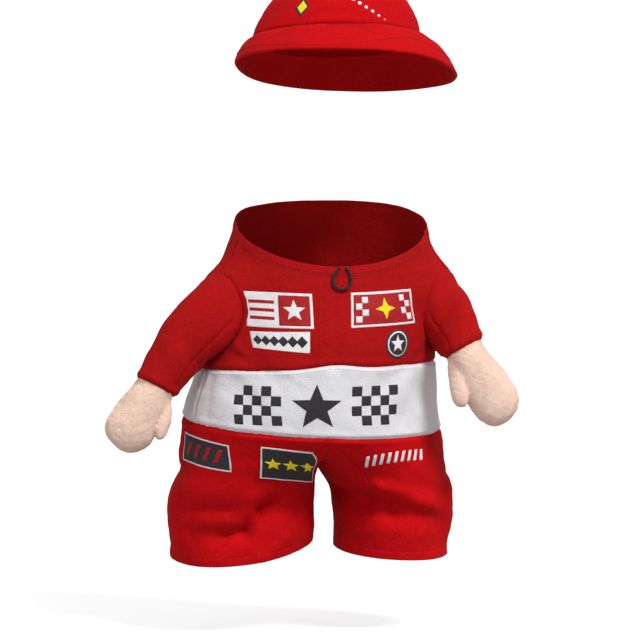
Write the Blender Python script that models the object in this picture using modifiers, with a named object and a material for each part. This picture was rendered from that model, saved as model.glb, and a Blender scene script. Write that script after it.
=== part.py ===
"""Dog costume: a red jumpsuit with a white waistband and stuffed arms, and a red brimmed cap.

The suit keeps the hollow form that it has when worn. Sizes are in millimetres and angles in degrees;
meshes are made in metres. +Z is up, the suit's front faces -Y, and the wearer's left is +X.
The origin is the centre of the neck opening. Each cloth piece is a wall behind a grid of points,
and the grids of neighbouring pieces are read from one smooth form, so that they meet along a seam.
"""

import math

import bmesh
import bpy
import numpy as np
from mathutils import Vector

# Driving dimensions
MM = 0.001
CLOTH = 1.5
BRIM_THICK = 2.2
SEAM_GAP = 0.3
LOOP_THICK = 2.0
# The small step, in degrees or millimetres, that normals are read over
STEP = 0.01
SHARP_ANGLE = 50.0

# Trunk, from the neck down to the top of the trousers
TRUNK_COLUMNS = ("height", "mid_x", "mid_y", "half_width", "half_front", "half_back")
TRUNK = [
    (36.0, 0.5, 3.0, 58.0, 42.0, 45.0),
    (22.0, 0.5, 3.0, 62.0, 46.0, 47.5),
    (8.0, 0.0, 2.0, 65.5, 50.0, 50.0),
    (-8.0, -1.0, 1.0, 68.5, 53.5, 53.0),
    (-24.0, -2.5, 0.0, 72.5, 57.5, 56.0),
    (-45.0, -4.5, -1.0, 75.0, 61.5, 58.5),
    (-65.0, -7.0, -2.0, 76.5, 64.5, 60.0),
    (-85.0, -10.5, -2.0, 80.5, 66.5, 61.0),
    (-105.0, -13.0, -2.0, 84.0, 67.5, 62.0),
    (-130.0, -13.0, -1.0, 87.0, 67.0, 63.0),
    (-150.0, -12.0, 0.0, 89.0, 65.0, 63.0),
]
TRUNK_MEAN_RADIUS = 68.0
SIDE_SEAM = 73.0
# Half the gap at a side seam, as an angle. The walls lean together there, so it is a little wider
SIDE_GAP = 0.5
HALF_GAP = math.degrees(SIDE_GAP / 2 / TRUNK_MEAN_RADIUS)
# How finely the trunk's pieces are divided, with more rows beside the armhole
CHEST_COLS = 25
BACK_COLS = 29
PANEL_ROWS = {"under": 2, "armhole": 11, "over": 5}
BAND_ROWS = 5

# The shoulder stands out over the top of each armhole
SHOULDER = {"angle": 77.0, "height": -25.0, "out": 7.0, "across": 20.0, "tall": 15.0}

# Armholes are ellipses about the side seam
ARMHOLE = {"height": -42.5, "half_height": 26.0, "half_angle": 19.0}
ARMHOLE_INSET = 0.45

# Folds lie between two places and are ridges where they rise above 0, and troughs below it.
# Their columns: first angle, first height, second angle, second height, half width, rise
TRUNK_FOLDS = [
    (-1, -48, -1, -128, 9, 2.0),
    (-46, -70, -26, -84, 7, -1.6),
    (-50, -88, -34, -100, 8, -1.4),
    (44, -72, 27, -88, 7, -1.6),
    (52, -92, 38, -108, 8, -1.4),
    (-30, -20, -48, -38, 7, -0.9),
    (31, -22, 46, -40, 7, -0.9),
    (172, -20, 166, -78, 8, -2.0),
    (-160, -32, -152, -92, 9, -2.0),
    (140, -60, 150, -112, 8, -1.8),
    (-128, -70, -136, -114, 8, -1.8),
    (180, -95, 180, -124, 9, -1.4),
]

# Legs of the trousers
LEG_COLUMNS = ("height", "mid_x", "mid_y", "half_width", "half_depth")
RIGHT_LEG = [
    (-140.0, -56.5, 0.0, 46.0, 47.0),
    (-152.0, -57.5, 0.0, 47.0, 45.0),
    (-170.0, -59.0, 0.0, 49.5, 43.5),
    (-185.0, -59.0, 0.0, 49.0, 42.5),
    (-200.0, -60.0, 0.5, 46.5, 41.0),
    (-222.0, -60.5, 1.0, 44.5, 39.5),
]
LEFT_LEG = [
    (-140.0, 38.5, 0.0, 39.5, 49.0),
    (-152.0, 40.5, 0.0, 40.0, 48.5),
    (-170.0, 42.0, 0.0, 40.0, 48.0),
    (-185.0, 42.0, 0.0, 39.0, 47.5),
    (-200.0, 41.5, 0.5, 38.0, 46.0),
    (-222.0, 41.0, 1.0, 37.5, 45.0),
]
LEG_MEAN_RADIUS = 44.0
LEG_FOLDS_RIGHT = [
    (-38, -178, -6, -175, 6, -3.4),
    (-6, -175, 8, -191, 6, -4.6),
    (8, -191, 24, -194, 7, -3.6),
    (24, -194, 52, -193, 8, -2.6),
    (16, -177, 62, -179, 7, -2.2),
    (4, -164, 70, -160, 9, 1.6),
    (66, -146, 112, -147, 7, -3.0),
    (-30, -190, -8, -201, 7, 1.8),
    (118, -172, 160, -180, 8, -2.8),
    (150, -192, 196, -188, 8, -2.8),
    (205, -168, 236, -176, 7, -2.2),
]
LEG_FOLDS_LEFT = [
    (-66, -159, -21, -164, 7, 2.6),
    (-21, -164, 30, -174, 8, 2.8),
    (-80, -163, -40, -170, 7, -3.0),
    (-40, -170, -12, -175, 8, -3.4),
    (-12, -175, 44, -185, 8, -2.6),
    (22, -160, 48, -163, 7, -1.8),
    (60, -150, 105, -152, 8, -2.0),
    (30, -196, 84, -199, 9, -1.8),
    (128, -168, 168, -178, 8, -2.8),
    (112, -190, 150, -196, 8, -2.6),
    (196, -172, 232, -166, 7, -2.2),
]
CROTCH = {"mid_x": -13.0, "height": -139.0, "roundness": 0.6}
# Of each ring's points, how many follow the waist and how many the rise through the crotch
WAIST_COLS = 28
RISE_COLS = 16
INSIDE_ANGLE = 28.0
# Shares of a leg's length: it falls straight from the waist at first, then opens to its full round
LEG_STRAIGHT = 0.025
LEG_OPENS_BY = 0.5
# Half the gap that is kept between the legs
LEG_SPARE = 0.2
LEG_ROWS = 14
LEG_ROW_CROWDING = 1.15
HEMS = {
    -1: {"height": -198.8, "front": -7.2, "outside": -6.1},
    1: {"height": -201.8, "front": -3.0, "outside": -1.8},
}

# Arms: where the cuff is, where the hand points, and how the sleeve leaves the shoulder
ARMS = {
    -1: {
        "cuff": (-120.5, -25.0, -89.5),
        "points": (-0.49, -0.08, -0.87),
        "leaves": (-17.0, -6.0, 0.0),
        "arrives": 24.0,
        "hand_long": 45.0,
    },
    1: {
        "cuff": (79.0, -54.0, -64.5),
        "points": (0.44, -0.20, -0.88),
        "leaves": (18.0, -8.0, 0.0),
        "arrives": 14.0,
        "hand_long": 57.0,
    },
}
CUFF_RADIUS = 15.2
# How far the sleeve stands off the trunk at its armhole
SLEEVE_LIFT = 0.25
# The armhole is read at this many places, from its top round by its back, to place the sleeve
ARMHOLE_POINTS = 48
# Share of a sleeve over which its folds grow from the armhole
FOLDS_START = 0.25
SLEEVE_COLS = 20
SLEEVE_ROWS = 11
# The stuffed arm starts at this row of the sleeve, and lies this far inside its outer face
ARM_START_ROW = 2
ARM_INSET = 2.1
SLEEVE_MEAN_RADIUS = 18.0
# The columns of folds on a sleeve hold shares of its length in place of heights
SLEEVE_MEAN_LENGTH = 60.0
SLEEVE_FOLDS = {
    -1: [
        (-40, 0.16, 40, 0.16, 0.12, 5.0),
        (150, 0.30, 215, 0.40, 0.10, -1.8),
        (230, 0.62, 300, 0.52, 0.09, -1.3),
        (60, 0.55, 120, 0.62, 0.09, -1.2),
    ],
    1: [
        (-40, 0.16, 40, 0.16, 0.12, 1.5),
        (170, 0.34, 290, 0.40, 0.11, -2.0),
        (215, 0.62, 300, 0.70, 0.10, -1.4),
        (40, 0.50, 110, 0.46, 0.10, -1.2),
    ],
}

# The mitten hand's rings, from the cuff to the tip.
# Their columns: share of its length, half width, half thickness, drift inward
HAND = [
    (0.14, 13.4, 12.6, 0.0),
    (0.34, 15.2, 12.4, -0.4),
    (0.56, 16.8, 12.0, -0.8),
    (0.74, 16.6, 11.0, -0.8),
    (0.87, 14.0, 9.2, -0.4),
    (0.96, 8.6, 6.0, 0.2),
    (0.995, 3.2, 2.4, 0.4),
]
# The thumb's middle line, from its root to its tip, as (along the hand, inward)
THUMB = {"root": (13.0, 8.5), "tip": (26.5, 15.5), "radius": 5.8, "forward": 3.0}
THUMB_DIVISIONS = {"u_segments": 14, "v_segments": 9}

# Neck, waistband and loop
NECK_EDGE = {"side": 15.0, "tilt": 18.0, "dip": 7.5}
BAND_TOP = {"height": -79.0, "front": 2.5, "lean": 1.6, "peak": 3.0, "peak_angle": 13.0}
BAND_FOOT = {"height": -114.3, "front": 7.2, "lean": 4.3, "point": 1.5}
LOOP = {
    "root": 1.4,
    "half_width": 3.3,
    "slimness": 1.2,
    "below_edge": 0.6,
    "drop": 14.0,
    "taper": 0.75,
    "clear": 0.45,
    "points": 26,
}

# Cap, in its own upright frame with its origin at the centre of the crown's lower edge
CAP_PLACE = {"at": (2.6, -10.0, 136.0), "turn": (-14.0, -1.2, -12.0)}
CROWN = {"half_width": 55.5, "half_depth": 56.0, "side_seam": 84.0, "lean": 0.08}
CROWN_COLUMNS = ("height", "share")
CROWN_PROFILE = [
    (0.0, 1.000),
    (7.0, 0.970),
    (14.0, 0.915),
    (22.0, 0.835),
    (28.0, 0.750),
    (32.0, 0.660),
]
TIP = {
    "height": 32.0,
    "below": 1.8,
    "rise": 6.5,
    "middle": 0.08,
    "cols": 28,
    "rows": 5,
}
# How fast the brim spreads at first, and how late it turns down
BRIM_CURVE = {"early": 0.25, "turn_down": 1.7}
CAP_COLS = 19
CROWN_ROWS = 6
BRIM_ROWS = 5
BRIM_COLUMNS = ("angle", "reach", "drop")
BRIM = [
    (-180.0, 15.0, 20.0),
    (-135.0, 13.0, 18.0),
    (-84.0, 11.5, 16.0),
    (-45.0, 22.0, 15.0),
    (0.0, 30.0, 17.5),
    (45.0, 29.0, 19.5),
    (84.0, 24.0, 26.0),
    (135.0, 18.0, 23.0),
    (180.0, 15.0, 20.0),
]

SIDE_NAMES = {-1: "right", 1: "left"}
COLOURS = {
    "red_cloth": (0.58, 0.008, 0.014, 1.0),
    "white_cloth": (0.80, 0.79, 0.81, 1.0),
    "hand_cloth": (0.85, 0.55, 0.42, 1.0),
    "black_cord": (0.012, 0.012, 0.013, 1.0),
}


# Small tools for tables, directions and curves
def column(table, names, name, at):
    """A table's column read at any value of its first column, as a smooth curve through the rows."""
    rows = np.array(table, float)
    order = np.argsort(rows[:, 0])
    x = rows[order, 0]
    y = rows[order, names.index(name)]
    slope = np.gradient(y, x)
    at = np.clip(np.asarray(at, float), x[0], x[-1])
    i = np.clip(np.searchsorted(x, at) - 1, 0, len(x) - 2)
    wide = x[i + 1] - x[i]
    t = (at - x[i]) / wide
    start = (1 + 2 * t) * (1 - t) ** 2 * y[i] + t * (1 - t) ** 2 * wide * slope[i]
    end = t**2 * (3 - 2 * t) * y[i + 1] - t**2 * (1 - t) * wide * slope[i + 1]
    return start + end


def sin(angle):
    return np.sin(np.radians(angle))


def cos(angle):
    return np.cos(np.radians(angle))


def unit(vectors):
    vectors = np.asarray(vectors, float)
    return vectors / np.linalg.norm(vectors, axis=-1, keepdims=True)


def stack(x, y, z):
    return np.stack(np.broadcast_arrays(x, y, z), axis=-1).astype(float)


def smooth_step(t):
    t = np.clip(t, 0, 1)
    return t * t * (3 - 2 * t)


def folds_at(folds, angle, height, radius):
    """How far folds move the cloth out: each is a soft bell across the line between its two ends."""
    out = np.zeros(np.broadcast(angle, height).shape)
    for angle_a, height_a, angle_b, height_b, half_width, rise in folds:
        turned = (angle - angle_a + 180) % 360 - 180
        along = np.radians(turned) * radius
        up = height - height_a
        run = math.radians((angle_b - angle_a + 180) % 360 - 180) * radius
        climb = height_b - height_a
        t = np.clip((along * run + up * climb) / (run**2 + climb**2), 0, 1)
        away = (along - t * run) ** 2 + (up - t * climb) ** 2
        out = out + rise * np.exp(-away / half_width**2)
    return out


def trunk_normal(angle, height):
    """Unit normals of the trunk, from small steps either way."""
    across = trunk(angle + STEP, height) - trunk(angle - STEP, height)
    along = trunk(angle, height + STEP) - trunk(angle, height - STEP)
    return unit(np.cross(across, along))


# The forms that the cloth pieces are cut from
def trunk(angle, height):
    """The trunk at an angle about the body, 0 at the front and 90 at the wearer's left."""
    read = {n: column(TRUNK, TRUNK_COLUMNS, n, height) for n in TRUNK_COLUMNS[1:]}
    depth = np.where(cos(angle) > 0, read["half_front"], read["half_back"])
    base = stack(
        read["mid_x"] + read["half_width"] * sin(angle),
        read["mid_y"] - depth * cos(angle),
        height,
    )
    outward = unit(stack(sin(angle) / read["half_width"], -cos(angle) / depth, 0.0))
    from_shoulder = (np.abs((angle + 180) % 360 - 180) - SHOULDER["angle"]) / SHOULDER["across"]
    from_top = (height - SHOULDER["height"]) / SHOULDER["tall"]
    out = SHOULDER["out"] * np.exp(-(from_shoulder**2) - from_top**2)
    out = out + folds_at(TRUNK_FOLDS, angle, height, TRUNK_MEAN_RADIUS)
    return base + outward * out[..., None]


def neck_edge(angle):
    return NECK_EDGE["side"] - NECK_EDGE["tilt"] * cos(angle) - NECK_EDGE["dip"] * cos(angle) ** 2


def band_top(angle):
    turned = (angle + 180) % 360 - 180
    peak = BAND_TOP["peak"] * np.exp(-((turned / BAND_TOP["peak_angle"]) ** 2))
    level = BAND_TOP["height"] + BAND_TOP["lean"] * sin(angle)
    return level + BAND_TOP["front"] * (1 + cos(angle)) / 2 + peak


def band_foot(angle):
    front = BAND_FOOT["front"] * ((1 + cos(angle)) / 2) ** BAND_FOOT["point"]
    return BAND_FOOT["height"] - front - BAND_FOOT["lean"] * sin(angle)


def armhole(side, round_angle, inset):
    """(angle, height) on the trunk of a place on the armhole: 0 is its top, and 90 its back."""
    shrink = math.degrees(inset / TRUNK_MEAN_RADIUS)
    angle = SIDE_SEAM + (ARMHOLE["half_angle"] - shrink) * sin(round_angle)
    height = ARMHOLE["height"] + (ARMHOLE["half_height"] - inset) * cos(round_angle)
    return side * angle, height


def leg(side, share, down):
    """A trouser leg: share runs round its top edge from the front rise, and down runs to the hem.

    The top edge follows the trunk from front to back and comes home through the crotch. Lower rings
    are ellipses. In between, each point slides sideways from the first shape to the second.
    """
    share = share % 1.0
    table = RIGHT_LEG if side < 0 else LEFT_LEG
    waist_share = WAIST_COLS / (WAIST_COLS + RISE_COLS)
    at_waist = share <= waist_share
    outside = np.clip(share / waist_share, 0, 1)
    through = np.clip((share - waist_share) / (1 - waist_share), 0, 1)
    through = np.where(at_waist & (outside < 0.5), 1.0, through)
    waist_angle = side * 180 * outside
    waist_height = band_foot(waist_angle) - SEAM_GAP
    waist = trunk(waist_angle, waist_height)
    ends = trunk(np.array([180.0, 0.0]), band_foot(np.array([180.0, 0.0])) - SEAM_GAP)
    sag = (4 * through * (1 - through)) ** CROTCH["roundness"]
    level = ends[0, 2] + (ends[1, 2] - ends[0, 2]) * through
    rise = stack(
        ends[0, 0] + (ends[1, 0] - ends[0, 0]) * through + sag * (CROTCH["mid_x"] - ends[0, 0]),
        ends[0, 1] + (ends[1, 1] - ends[0, 1]) * through,
        level + sag * (CROTCH["height"] - level),
    )
    top = np.where(at_waist[..., None], waist, rise)
    outer_angle = -INSIDE_ANGLE + (180 + 2 * INSIDE_ANGLE) * outside
    inner_angle = 180 + INSIDE_ANGLE + (180 - 2 * INSIDE_ANGLE) * through
    angle = np.where(at_waist, outer_angle, inner_angle)
    hem = HEMS[side]
    foot = hem["height"] + hem["front"] * cos(angle) + hem["outside"] * sin(angle)
    height = top[..., 2] * (1 - down) + foot * down
    read = {n: column(table, LEG_COLUMNS, n, height) for n in LEG_COLUMNS[1:]}
    out = folds_at(
        LEG_FOLDS_RIGHT if side < 0 else LEG_FOLDS_LEFT, angle, height, LEG_MEAN_RADIUS
    )
    low_x = read["mid_x"] + side * (read["half_width"] + out) * sin(angle)
    low_y = read["mid_y"] - (read["half_depth"] + out) * cos(angle)
    opened = (down - LEG_STRAIGHT) / (LEG_OPENS_BY - LEG_STRAIGHT)
    turn = np.sin(math.pi / 2 * np.clip(opened, 0, 1))
    x = top[..., 0] * (1 - turn) + low_x * turn
    centre = ends[0, 0] + sag * (CROTCH["mid_x"] - ends[0, 0])
    x = side * np.maximum(side * (x - centre), LEG_SPARE) + centre
    y = top[..., 1] * (1 - turn) + low_y * turn
    return stack(x, y, height)


def bezier(points, t):
    a, b, c, d = (np.asarray(p, float) for p in points)
    t = np.asarray(t, float)[..., None]
    return (1 - t) ** 3 * a + 3 * t * (1 - t) ** 2 * b + 3 * t**2 * (1 - t) * c + t**3 * d


def cuff_frame(side):
    """Centre, direction, outward and backward axes of the cuff."""
    arm = ARMS[side]
    direction = unit(arm["points"])
    back = unit(np.array([0.0, 1.0, 0.0]) - direction[1] * direction)
    outward = np.cross(direction, back)
    outward = outward * side * np.sign(outward[0])
    return np.array(arm["cuff"]), direction, outward, back


def sleeve(side, round_angle, along):
    """A sleeve: rings turn and shrink from the armhole to the cuff along a curved middle line."""
    arm = ARMS[side]
    ring = np.linspace(0, 360, ARMHOLE_POINTS, endpoint=False)
    edge = trunk(*armhole(side, ring, ARMHOLE_INSET))
    middle = edge.mean(axis=0)
    top, rear, foot, front = edge[:: ARMHOLE_POINTS // 4]
    start_out = unit(np.cross(rear - front, top - foot)) * side
    start_out = start_out * side * np.sign(start_out[0])
    cuff, direction, outward, back = cuff_frame(side)
    path = (
        middle,
        middle + np.array(arm["leaves"]),
        cuff - direction * arm["arrives"],
        cuff,
    )
    turn = smooth_step(along)[..., None]
    facing = unit((1 - turn) * start_out + turn * direction)
    behind = unit((1 - turn) * unit(rear - front) + turn * back)
    behind = unit(behind - (behind * facing).sum(-1, keepdims=True) * facing)
    above = np.cross(facing, behind)
    upward = (1 - turn) * unit(top - foot) + turn * outward
    above = above * np.sign((above * upward).sum(-1, keepdims=True))
    tall = np.linalg.norm(top - foot) / 2
    wide = np.linalg.norm(rear - front) / 2
    height = tall + (CUFF_RADIUS - tall) * turn[..., 0]
    width = wide + (CUFF_RADIUS - wide) * turn[..., 0]
    scale = (1, SLEEVE_MEAN_LENGTH, 1, SLEEVE_MEAN_LENGTH, SLEEVE_MEAN_LENGTH, 1)
    folds = np.array(SLEEVE_FOLDS[side]) * scale
    out = folds_at(folds, round_angle, along * SLEEVE_MEAN_LENGTH, SLEEVE_MEAN_RADIUS)
    out = out * smooth_step(along / FOLDS_START)
    flat = (
        ((height + out) * cos(round_angle))[..., None] * above
        + ((width + out) * sin(round_angle))[..., None] * behind
    )
    true_edge = trunk(*armhole(side, round_angle, ARMHOLE_INSET))
    first_above = np.cross(start_out, unit(rear - front))
    first_above = first_above * np.sign(first_above @ (top - foot))
    plain_edge = (
        middle
        + tall * cos(round_angle)[..., None] * first_above
        + wide * sin(round_angle)[..., None] * unit(rear - front)
    )
    lift = SLEEVE_LIFT * start_out
    return bezier(path, along) + flat + (true_edge - plain_edge + lift) * (1 - turn) ** 2


def crown(angle, height):
    share = column(CROWN_PROFILE, CROWN_COLUMNS, "share", height)
    x = CROWN["half_width"] * share * sin(angle) + CROWN["lean"] * height
    y = -CROWN["half_depth"] * share * cos(angle)
    return stack(x, y, height)


def brim(angle, out):
    """The brim's top: it leaves the crown nearly flat and turns down towards its edge."""
    turned = (angle + 180) % 360 - 180
    reach = column(BRIM, BRIM_COLUMNS, "reach", turned)
    drop = column(BRIM, BRIM_COLUMNS, "drop", turned)
    spread = reach * out * (1 + BRIM_CURVE["early"] * (1 - out))
    x = (CROWN["half_width"] + spread) * sin(angle)
    y = -(CROWN["half_depth"] + spread) * cos(angle)
    return stack(x, y, -drop * np.abs(out) ** BRIM_CURVE["turn_down"])


# Mesh making
def new_object(name, data, material, collection="dog_costume", parent=None):
    data.materials.append(material)
    obj = bpy.data.objects.new(name, data)
    bpy.data.collections[collection].objects.link(obj)
    obj.parent = parent
    return obj


def smooth_shaded(mesh):
    mesh.shade_smooth()
    mesh.set_sharp_from_angle(angle=math.radians(SHARP_ANGLE))


def loft(name, grid, flip, closed=False, ends=()):
    """A surface through a grid of points, rows by columns, with the rows named in ends filled in.

    Its faces point along rows crossed with columns, or the other way where flip is -1.
    """
    rows, cols = grid.shape[:2]
    columns = range(cols if closed else cols - 1)
    faces = []
    for i in range(rows - 1):
        for j in columns:
            k = (j + 1) % cols
            face = (i * cols + j, i * cols + k, (i + 1) * cols + k, (i + 1) * cols + j)
            faces.append(face[::flip])
    for row in ends:
        start = row % rows * cols
        faces.append(tuple(range(start, start + cols))[:: flip if row else -flip])
    mesh = bpy.data.meshes.new(name)
    mesh.from_pydata((grid.reshape(-1, 3) * MM).tolist(), [], faces)
    smooth_shaded(mesh)
    return mesh


def cloth(name, mesh, material, thick=CLOTH, parent=None):
    """A wall of cloth whose outer face is the mesh."""
    obj = new_object(name, mesh, material, parent=parent)
    wall = obj.modifiers.new("wall", "SOLIDIFY")
    wall.thickness = thick * MM
    wall.offset = -1
    return obj


# Materials
def cloth_material(name, roughness):
    material = bpy.data.materials.new(name)
    material.use_nodes = True
    shader = material.node_tree.nodes["Principled BSDF"]
    shader.inputs["Base Color"].default_value = COLOURS[name]
    shader.inputs["Roughness"].default_value = roughness
    shader.inputs["Metallic"].default_value = 0.0
    material.diffuse_color = COLOURS[name]
    return material


# The jumpsuit
def half_round(front, seam, half_gap, shares):
    """Angles across the front or back half, from one side seam to the other."""
    reach = (seam if front else 180 - seam) - half_gap
    return (0 if front else 180) + reach * shares


def trunk_panel(name, front, cols, material):
    """The chest or the back: its sides are the side seams, cut away round the armholes."""
    low = ARMHOLE["height"] - ARMHOLE["half_height"]
    high = ARMHOLE["height"] + ARMHOLE["half_height"]
    beside = np.linspace(-1, 1, PANEL_ROWS["armhole"])
    beside = np.sin(beside * math.pi / 2)
    notch = ARMHOLE["half_angle"] * np.sqrt(1 - beside**2)
    notch = np.concatenate(
        [np.zeros(PANEL_ROWS["under"]), notch, np.zeros(PANEL_ROWS["over"])]
    )
    shares = np.linspace(-1, 1, cols)[None, :]
    angle = half_round(front, SIDE_SEAM - notch[:, None] * (1 if front else -1), HALF_GAP, shares)
    under = np.linspace(0, 1, PANEL_ROWS["under"], endpoint=False)[:, None]
    over = np.linspace(0, 1, PANEL_ROWS["over"] + 1)[1:, None]
    rows = len(notch)
    first, last = PANEL_ROWS["under"], rows - PANEL_ROWS["over"]
    foot = band_top(angle[:first]) + SEAM_GAP
    head = neck_edge(angle[last:])
    height = np.empty(angle.shape)
    height[:first] = foot + (low - foot) * under
    height[first:last] = ARMHOLE["height"] + ARMHOLE["half_height"] * beside[:, None]
    height[last:] = high + (head - high) * over
    return cloth(name, loft(name, trunk(angle, height), 1), material)


def waistband(name, front, cols, material):
    angle = half_round(front, SIDE_SEAM, HALF_GAP, np.linspace(-1, 1, cols)[None, :])
    angle = np.repeat(angle, BAND_ROWS, axis=0)
    up = np.linspace(0, 1, BAND_ROWS)[:, None]
    height = band_foot(angle) + up * (band_top(angle) - band_foot(angle))
    return cloth(name, loft(name, trunk(angle, height), 1), material)


def trouser(side, material):
    name = f"trouser_{SIDE_NAMES[side]}"
    lower_rows = np.linspace(0, 1, LEG_ROWS) ** LEG_ROW_CROWDING
    share, down = np.meshgrid(
        np.linspace(0, 1, WAIST_COLS + RISE_COLS, endpoint=False),
        np.append(0, LEG_STRAIGHT + (1 - LEG_STRAIGHT) * lower_rows),
    )
    return cloth(name, loft(name, leg(side, share, down), -side, closed=True), material)


def sleeve_grid(side):
    return sleeve(
        side,
        *np.meshgrid(
            np.linspace(0, 360, SLEEVE_COLS, endpoint=False), np.linspace(0, 1, SLEEVE_ROWS)
        ),
    )


def sleeve_piece(side, material):
    name = f"sleeve_{SIDE_NAMES[side]}"
    return cloth(name, loft(name, sleeve_grid(side), -side, closed=True), material)


def hand_rings(side):
    """Rings of the stuffed arm: inside the sleeve first, then the mitten from the cuff to its tip."""
    outer = sleeve_grid(side)
    across = np.roll(outer, -1, axis=1) - np.roll(outer, 1, axis=1)
    out = unit(np.cross(across, np.gradient(outer, axis=0))) * -side
    rings = list((outer - out * ARM_INSET)[ARM_START_ROW:-1])
    around = np.linspace(0, 360, SLEEVE_COLS, endpoint=False)[:, None]
    centre, direction, outward, back = cuff_frame(side)
    for share, half_width, half_thick, inward in HAND:
        middle = centre + direction * share * ARMS[side]["hand_long"] - outward * inward
        ring = half_width * cos(around) * outward + half_thick * sin(around) * back
        rings.append(middle + ring)
    return np.array(rings)


def thumb(side, material):
    """A long ball beside the palm, for the union that makes it part of the hand."""
    centre, direction, outward, back = cuff_frame(side)
    root, tip = (
        centre + direction * along - outward * inward - back * THUMB["forward"]
        for along, inward in (THUMB["root"], THUMB["tip"])
    )
    mesh = bpy.data.meshes.new(f"thumb_{SIDE_NAMES[side]}")
    ball = bmesh.new()
    bmesh.ops.create_uvsphere(ball, **THUMB_DIVISIONS, radius=THUMB["radius"] * MM)
    stretch = np.linalg.norm(tip - root) / 2 / THUMB["radius"] + 1
    bmesh.ops.scale(ball, vec=(1, 1, stretch), verts=ball.verts)
    ball.to_mesh(mesh)
    ball.free()
    obj = new_object(mesh.name, mesh, material, "cutters")
    obj.location = (root + tip) / 2 * MM
    obj.rotation_euler = Vector(tip - root).to_track_quat("Z", "Y").to_euler()
    obj.hide_render = True
    obj.display_type = "WIRE"
    return obj


def hand(side, material):
    """The stuffed arm and its mitten hand."""
    name = f"hand_{SIDE_NAMES[side]}"
    mesh = loft(name, hand_rings(side), -side, closed=True, ends=(0, -1))
    obj = new_object(name, mesh, material)
    join = obj.modifiers.new("thumb", "BOOLEAN")
    join.operation = "UNION"
    join.object = thumb(side, material)
    return obj


def loop_points():
    """The loop's line on the chest: a teardrop that hangs from the front of the neck edge."""
    turn = np.linspace(0, 1, LOOP["points"])
    swing = np.cos(math.pi * turn)
    belly = np.sin(math.pi * turn) ** LOOP["slimness"]
    across = swing * (LOOP["root"] + LOOP["half_width"] * 2 * belly)
    hang = ((1 - np.cos(2 * math.pi * turn)) / 2) ** LOOP["taper"]
    angle = -np.degrees(across / TRUNK[2][TRUNK_COLUMNS.index("half_front")])
    height = neck_edge(0.0) - LOOP["below_edge"] - LOOP["drop"] * hang
    return trunk(angle, height) + trunk_normal(angle, height) * (LOOP_THICK / 2 + LOOP["clear"])


def neck_loop(material):
    curve = bpy.data.curves.new("neck_loop", "CURVE")
    curve.dimensions = "3D"
    curve.bevel_depth = LOOP_THICK / 2 * MM
    curve.bevel_resolution = 2
    curve.use_fill_caps = True
    points = loop_points() * MM
    spline = curve.splines.new("POLY")
    spline.points.add(len(points) - 1)
    spline.points.foreach_set("co", np.column_stack([points, np.ones(len(points))]).ravel())
    return new_object("neck_loop", curve, material)


# The cap
def cap_place():
    empty = bpy.data.objects.new("cap_place", None)
    bpy.data.collections["dog_costume"].objects.link(empty)
    empty.location = [v * MM for v in CAP_PLACE["at"]]
    empty.rotation_euler = [math.radians(v) for v in CAP_PLACE["turn"]]
    return empty


def cap_ring(front, cols):
    half_gap = math.degrees(SEAM_GAP / 2 / CROWN["half_width"])
    return half_round(front, CROWN["side_seam"], half_gap, np.linspace(-1, 1, cols))


def crown_piece(name, front, material, place):
    heights = np.linspace(SEAM_GAP, TIP["height"] - TIP["below"], CROWN_ROWS)
    angle, height = np.meshgrid(cap_ring(front, CAP_COLS), heights)
    return cloth(name, loft(name, crown(angle, height), 1), material, parent=place)


def crown_tip(material, place):
    """The crown's round top, a low dome whose middle is one small flat face."""
    angle, out = np.meshgrid(
        np.linspace(0, 360, TIP["cols"], endpoint=False), np.linspace(1, TIP["middle"], TIP["rows"])
    )
    share = column(CROWN_PROFILE, CROWN_COLUMNS, "share", TIP["height"] - TIP["below"])
    grid = stack(
        CROWN["half_width"] * share * out * sin(angle) + CROWN["lean"] * TIP["height"],
        -CROWN["half_depth"] * share * out * cos(angle),
        TIP["height"] + TIP["rise"] * (1 - out**2),
    )
    return cloth("cap_top", loft("cap_top", grid, 1, closed=True, ends=(-1,)), material, parent=place)


def brim_piece(name, front, material, place):
    angle, out = np.meshgrid(cap_ring(front, CAP_COLS), np.linspace(0, 1, BRIM_ROWS))
    return cloth(name, loft(name, brim(angle, out), -1), material, BRIM_THICK, place)


def main():
    for obj in list(bpy.data.objects):
        bpy.data.objects.remove(obj)
    for name in ("dog_costume", "cutters"):
        collection = bpy.data.collections.new(name)
        bpy.context.scene.collection.children.link(collection)
    red = cloth_material("red_cloth", 0.85)
    white = cloth_material("white_cloth", 0.85)
    skin = cloth_material("hand_cloth", 0.9)
    black = cloth_material("black_cord", 0.6)

    trunk_panel("chest", True, CHEST_COLS, red)
    trunk_panel("back", False, BACK_COLS, red)
    waistband("waistband_front", True, CHEST_COLS, white)
    waistband("waistband_back", False, BACK_COLS, white)
    for side in SIDE_NAMES:
        trouser(side, red)
        sleeve_piece(side, red)
        hand(side, skin)
    neck_loop(black)

    place = cap_place()
    crown_piece("cap_front", True, red, place)
    crown_piece("cap_back", False, red, place)
    crown_tip(red, place)
    brim_piece("brim_front", True, red, place)
    brim_piece("brim_back", False, red, place)


main()
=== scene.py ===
"""Looks of the dog costume: cloth shells on the forms of the suit and cap, with seams, stitching and prints.

Forms are worked out in millimetres and degrees, and meshes are made in metres. The suit's front faces
-Y and the wearer's left is +X. A place on the trunk or the crown is (angle, height), on a leg (share
round from the front rise, share down), on a sleeve (angle round from its top, share along) and on the
brim (angle, share out).
"""

import math

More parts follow.
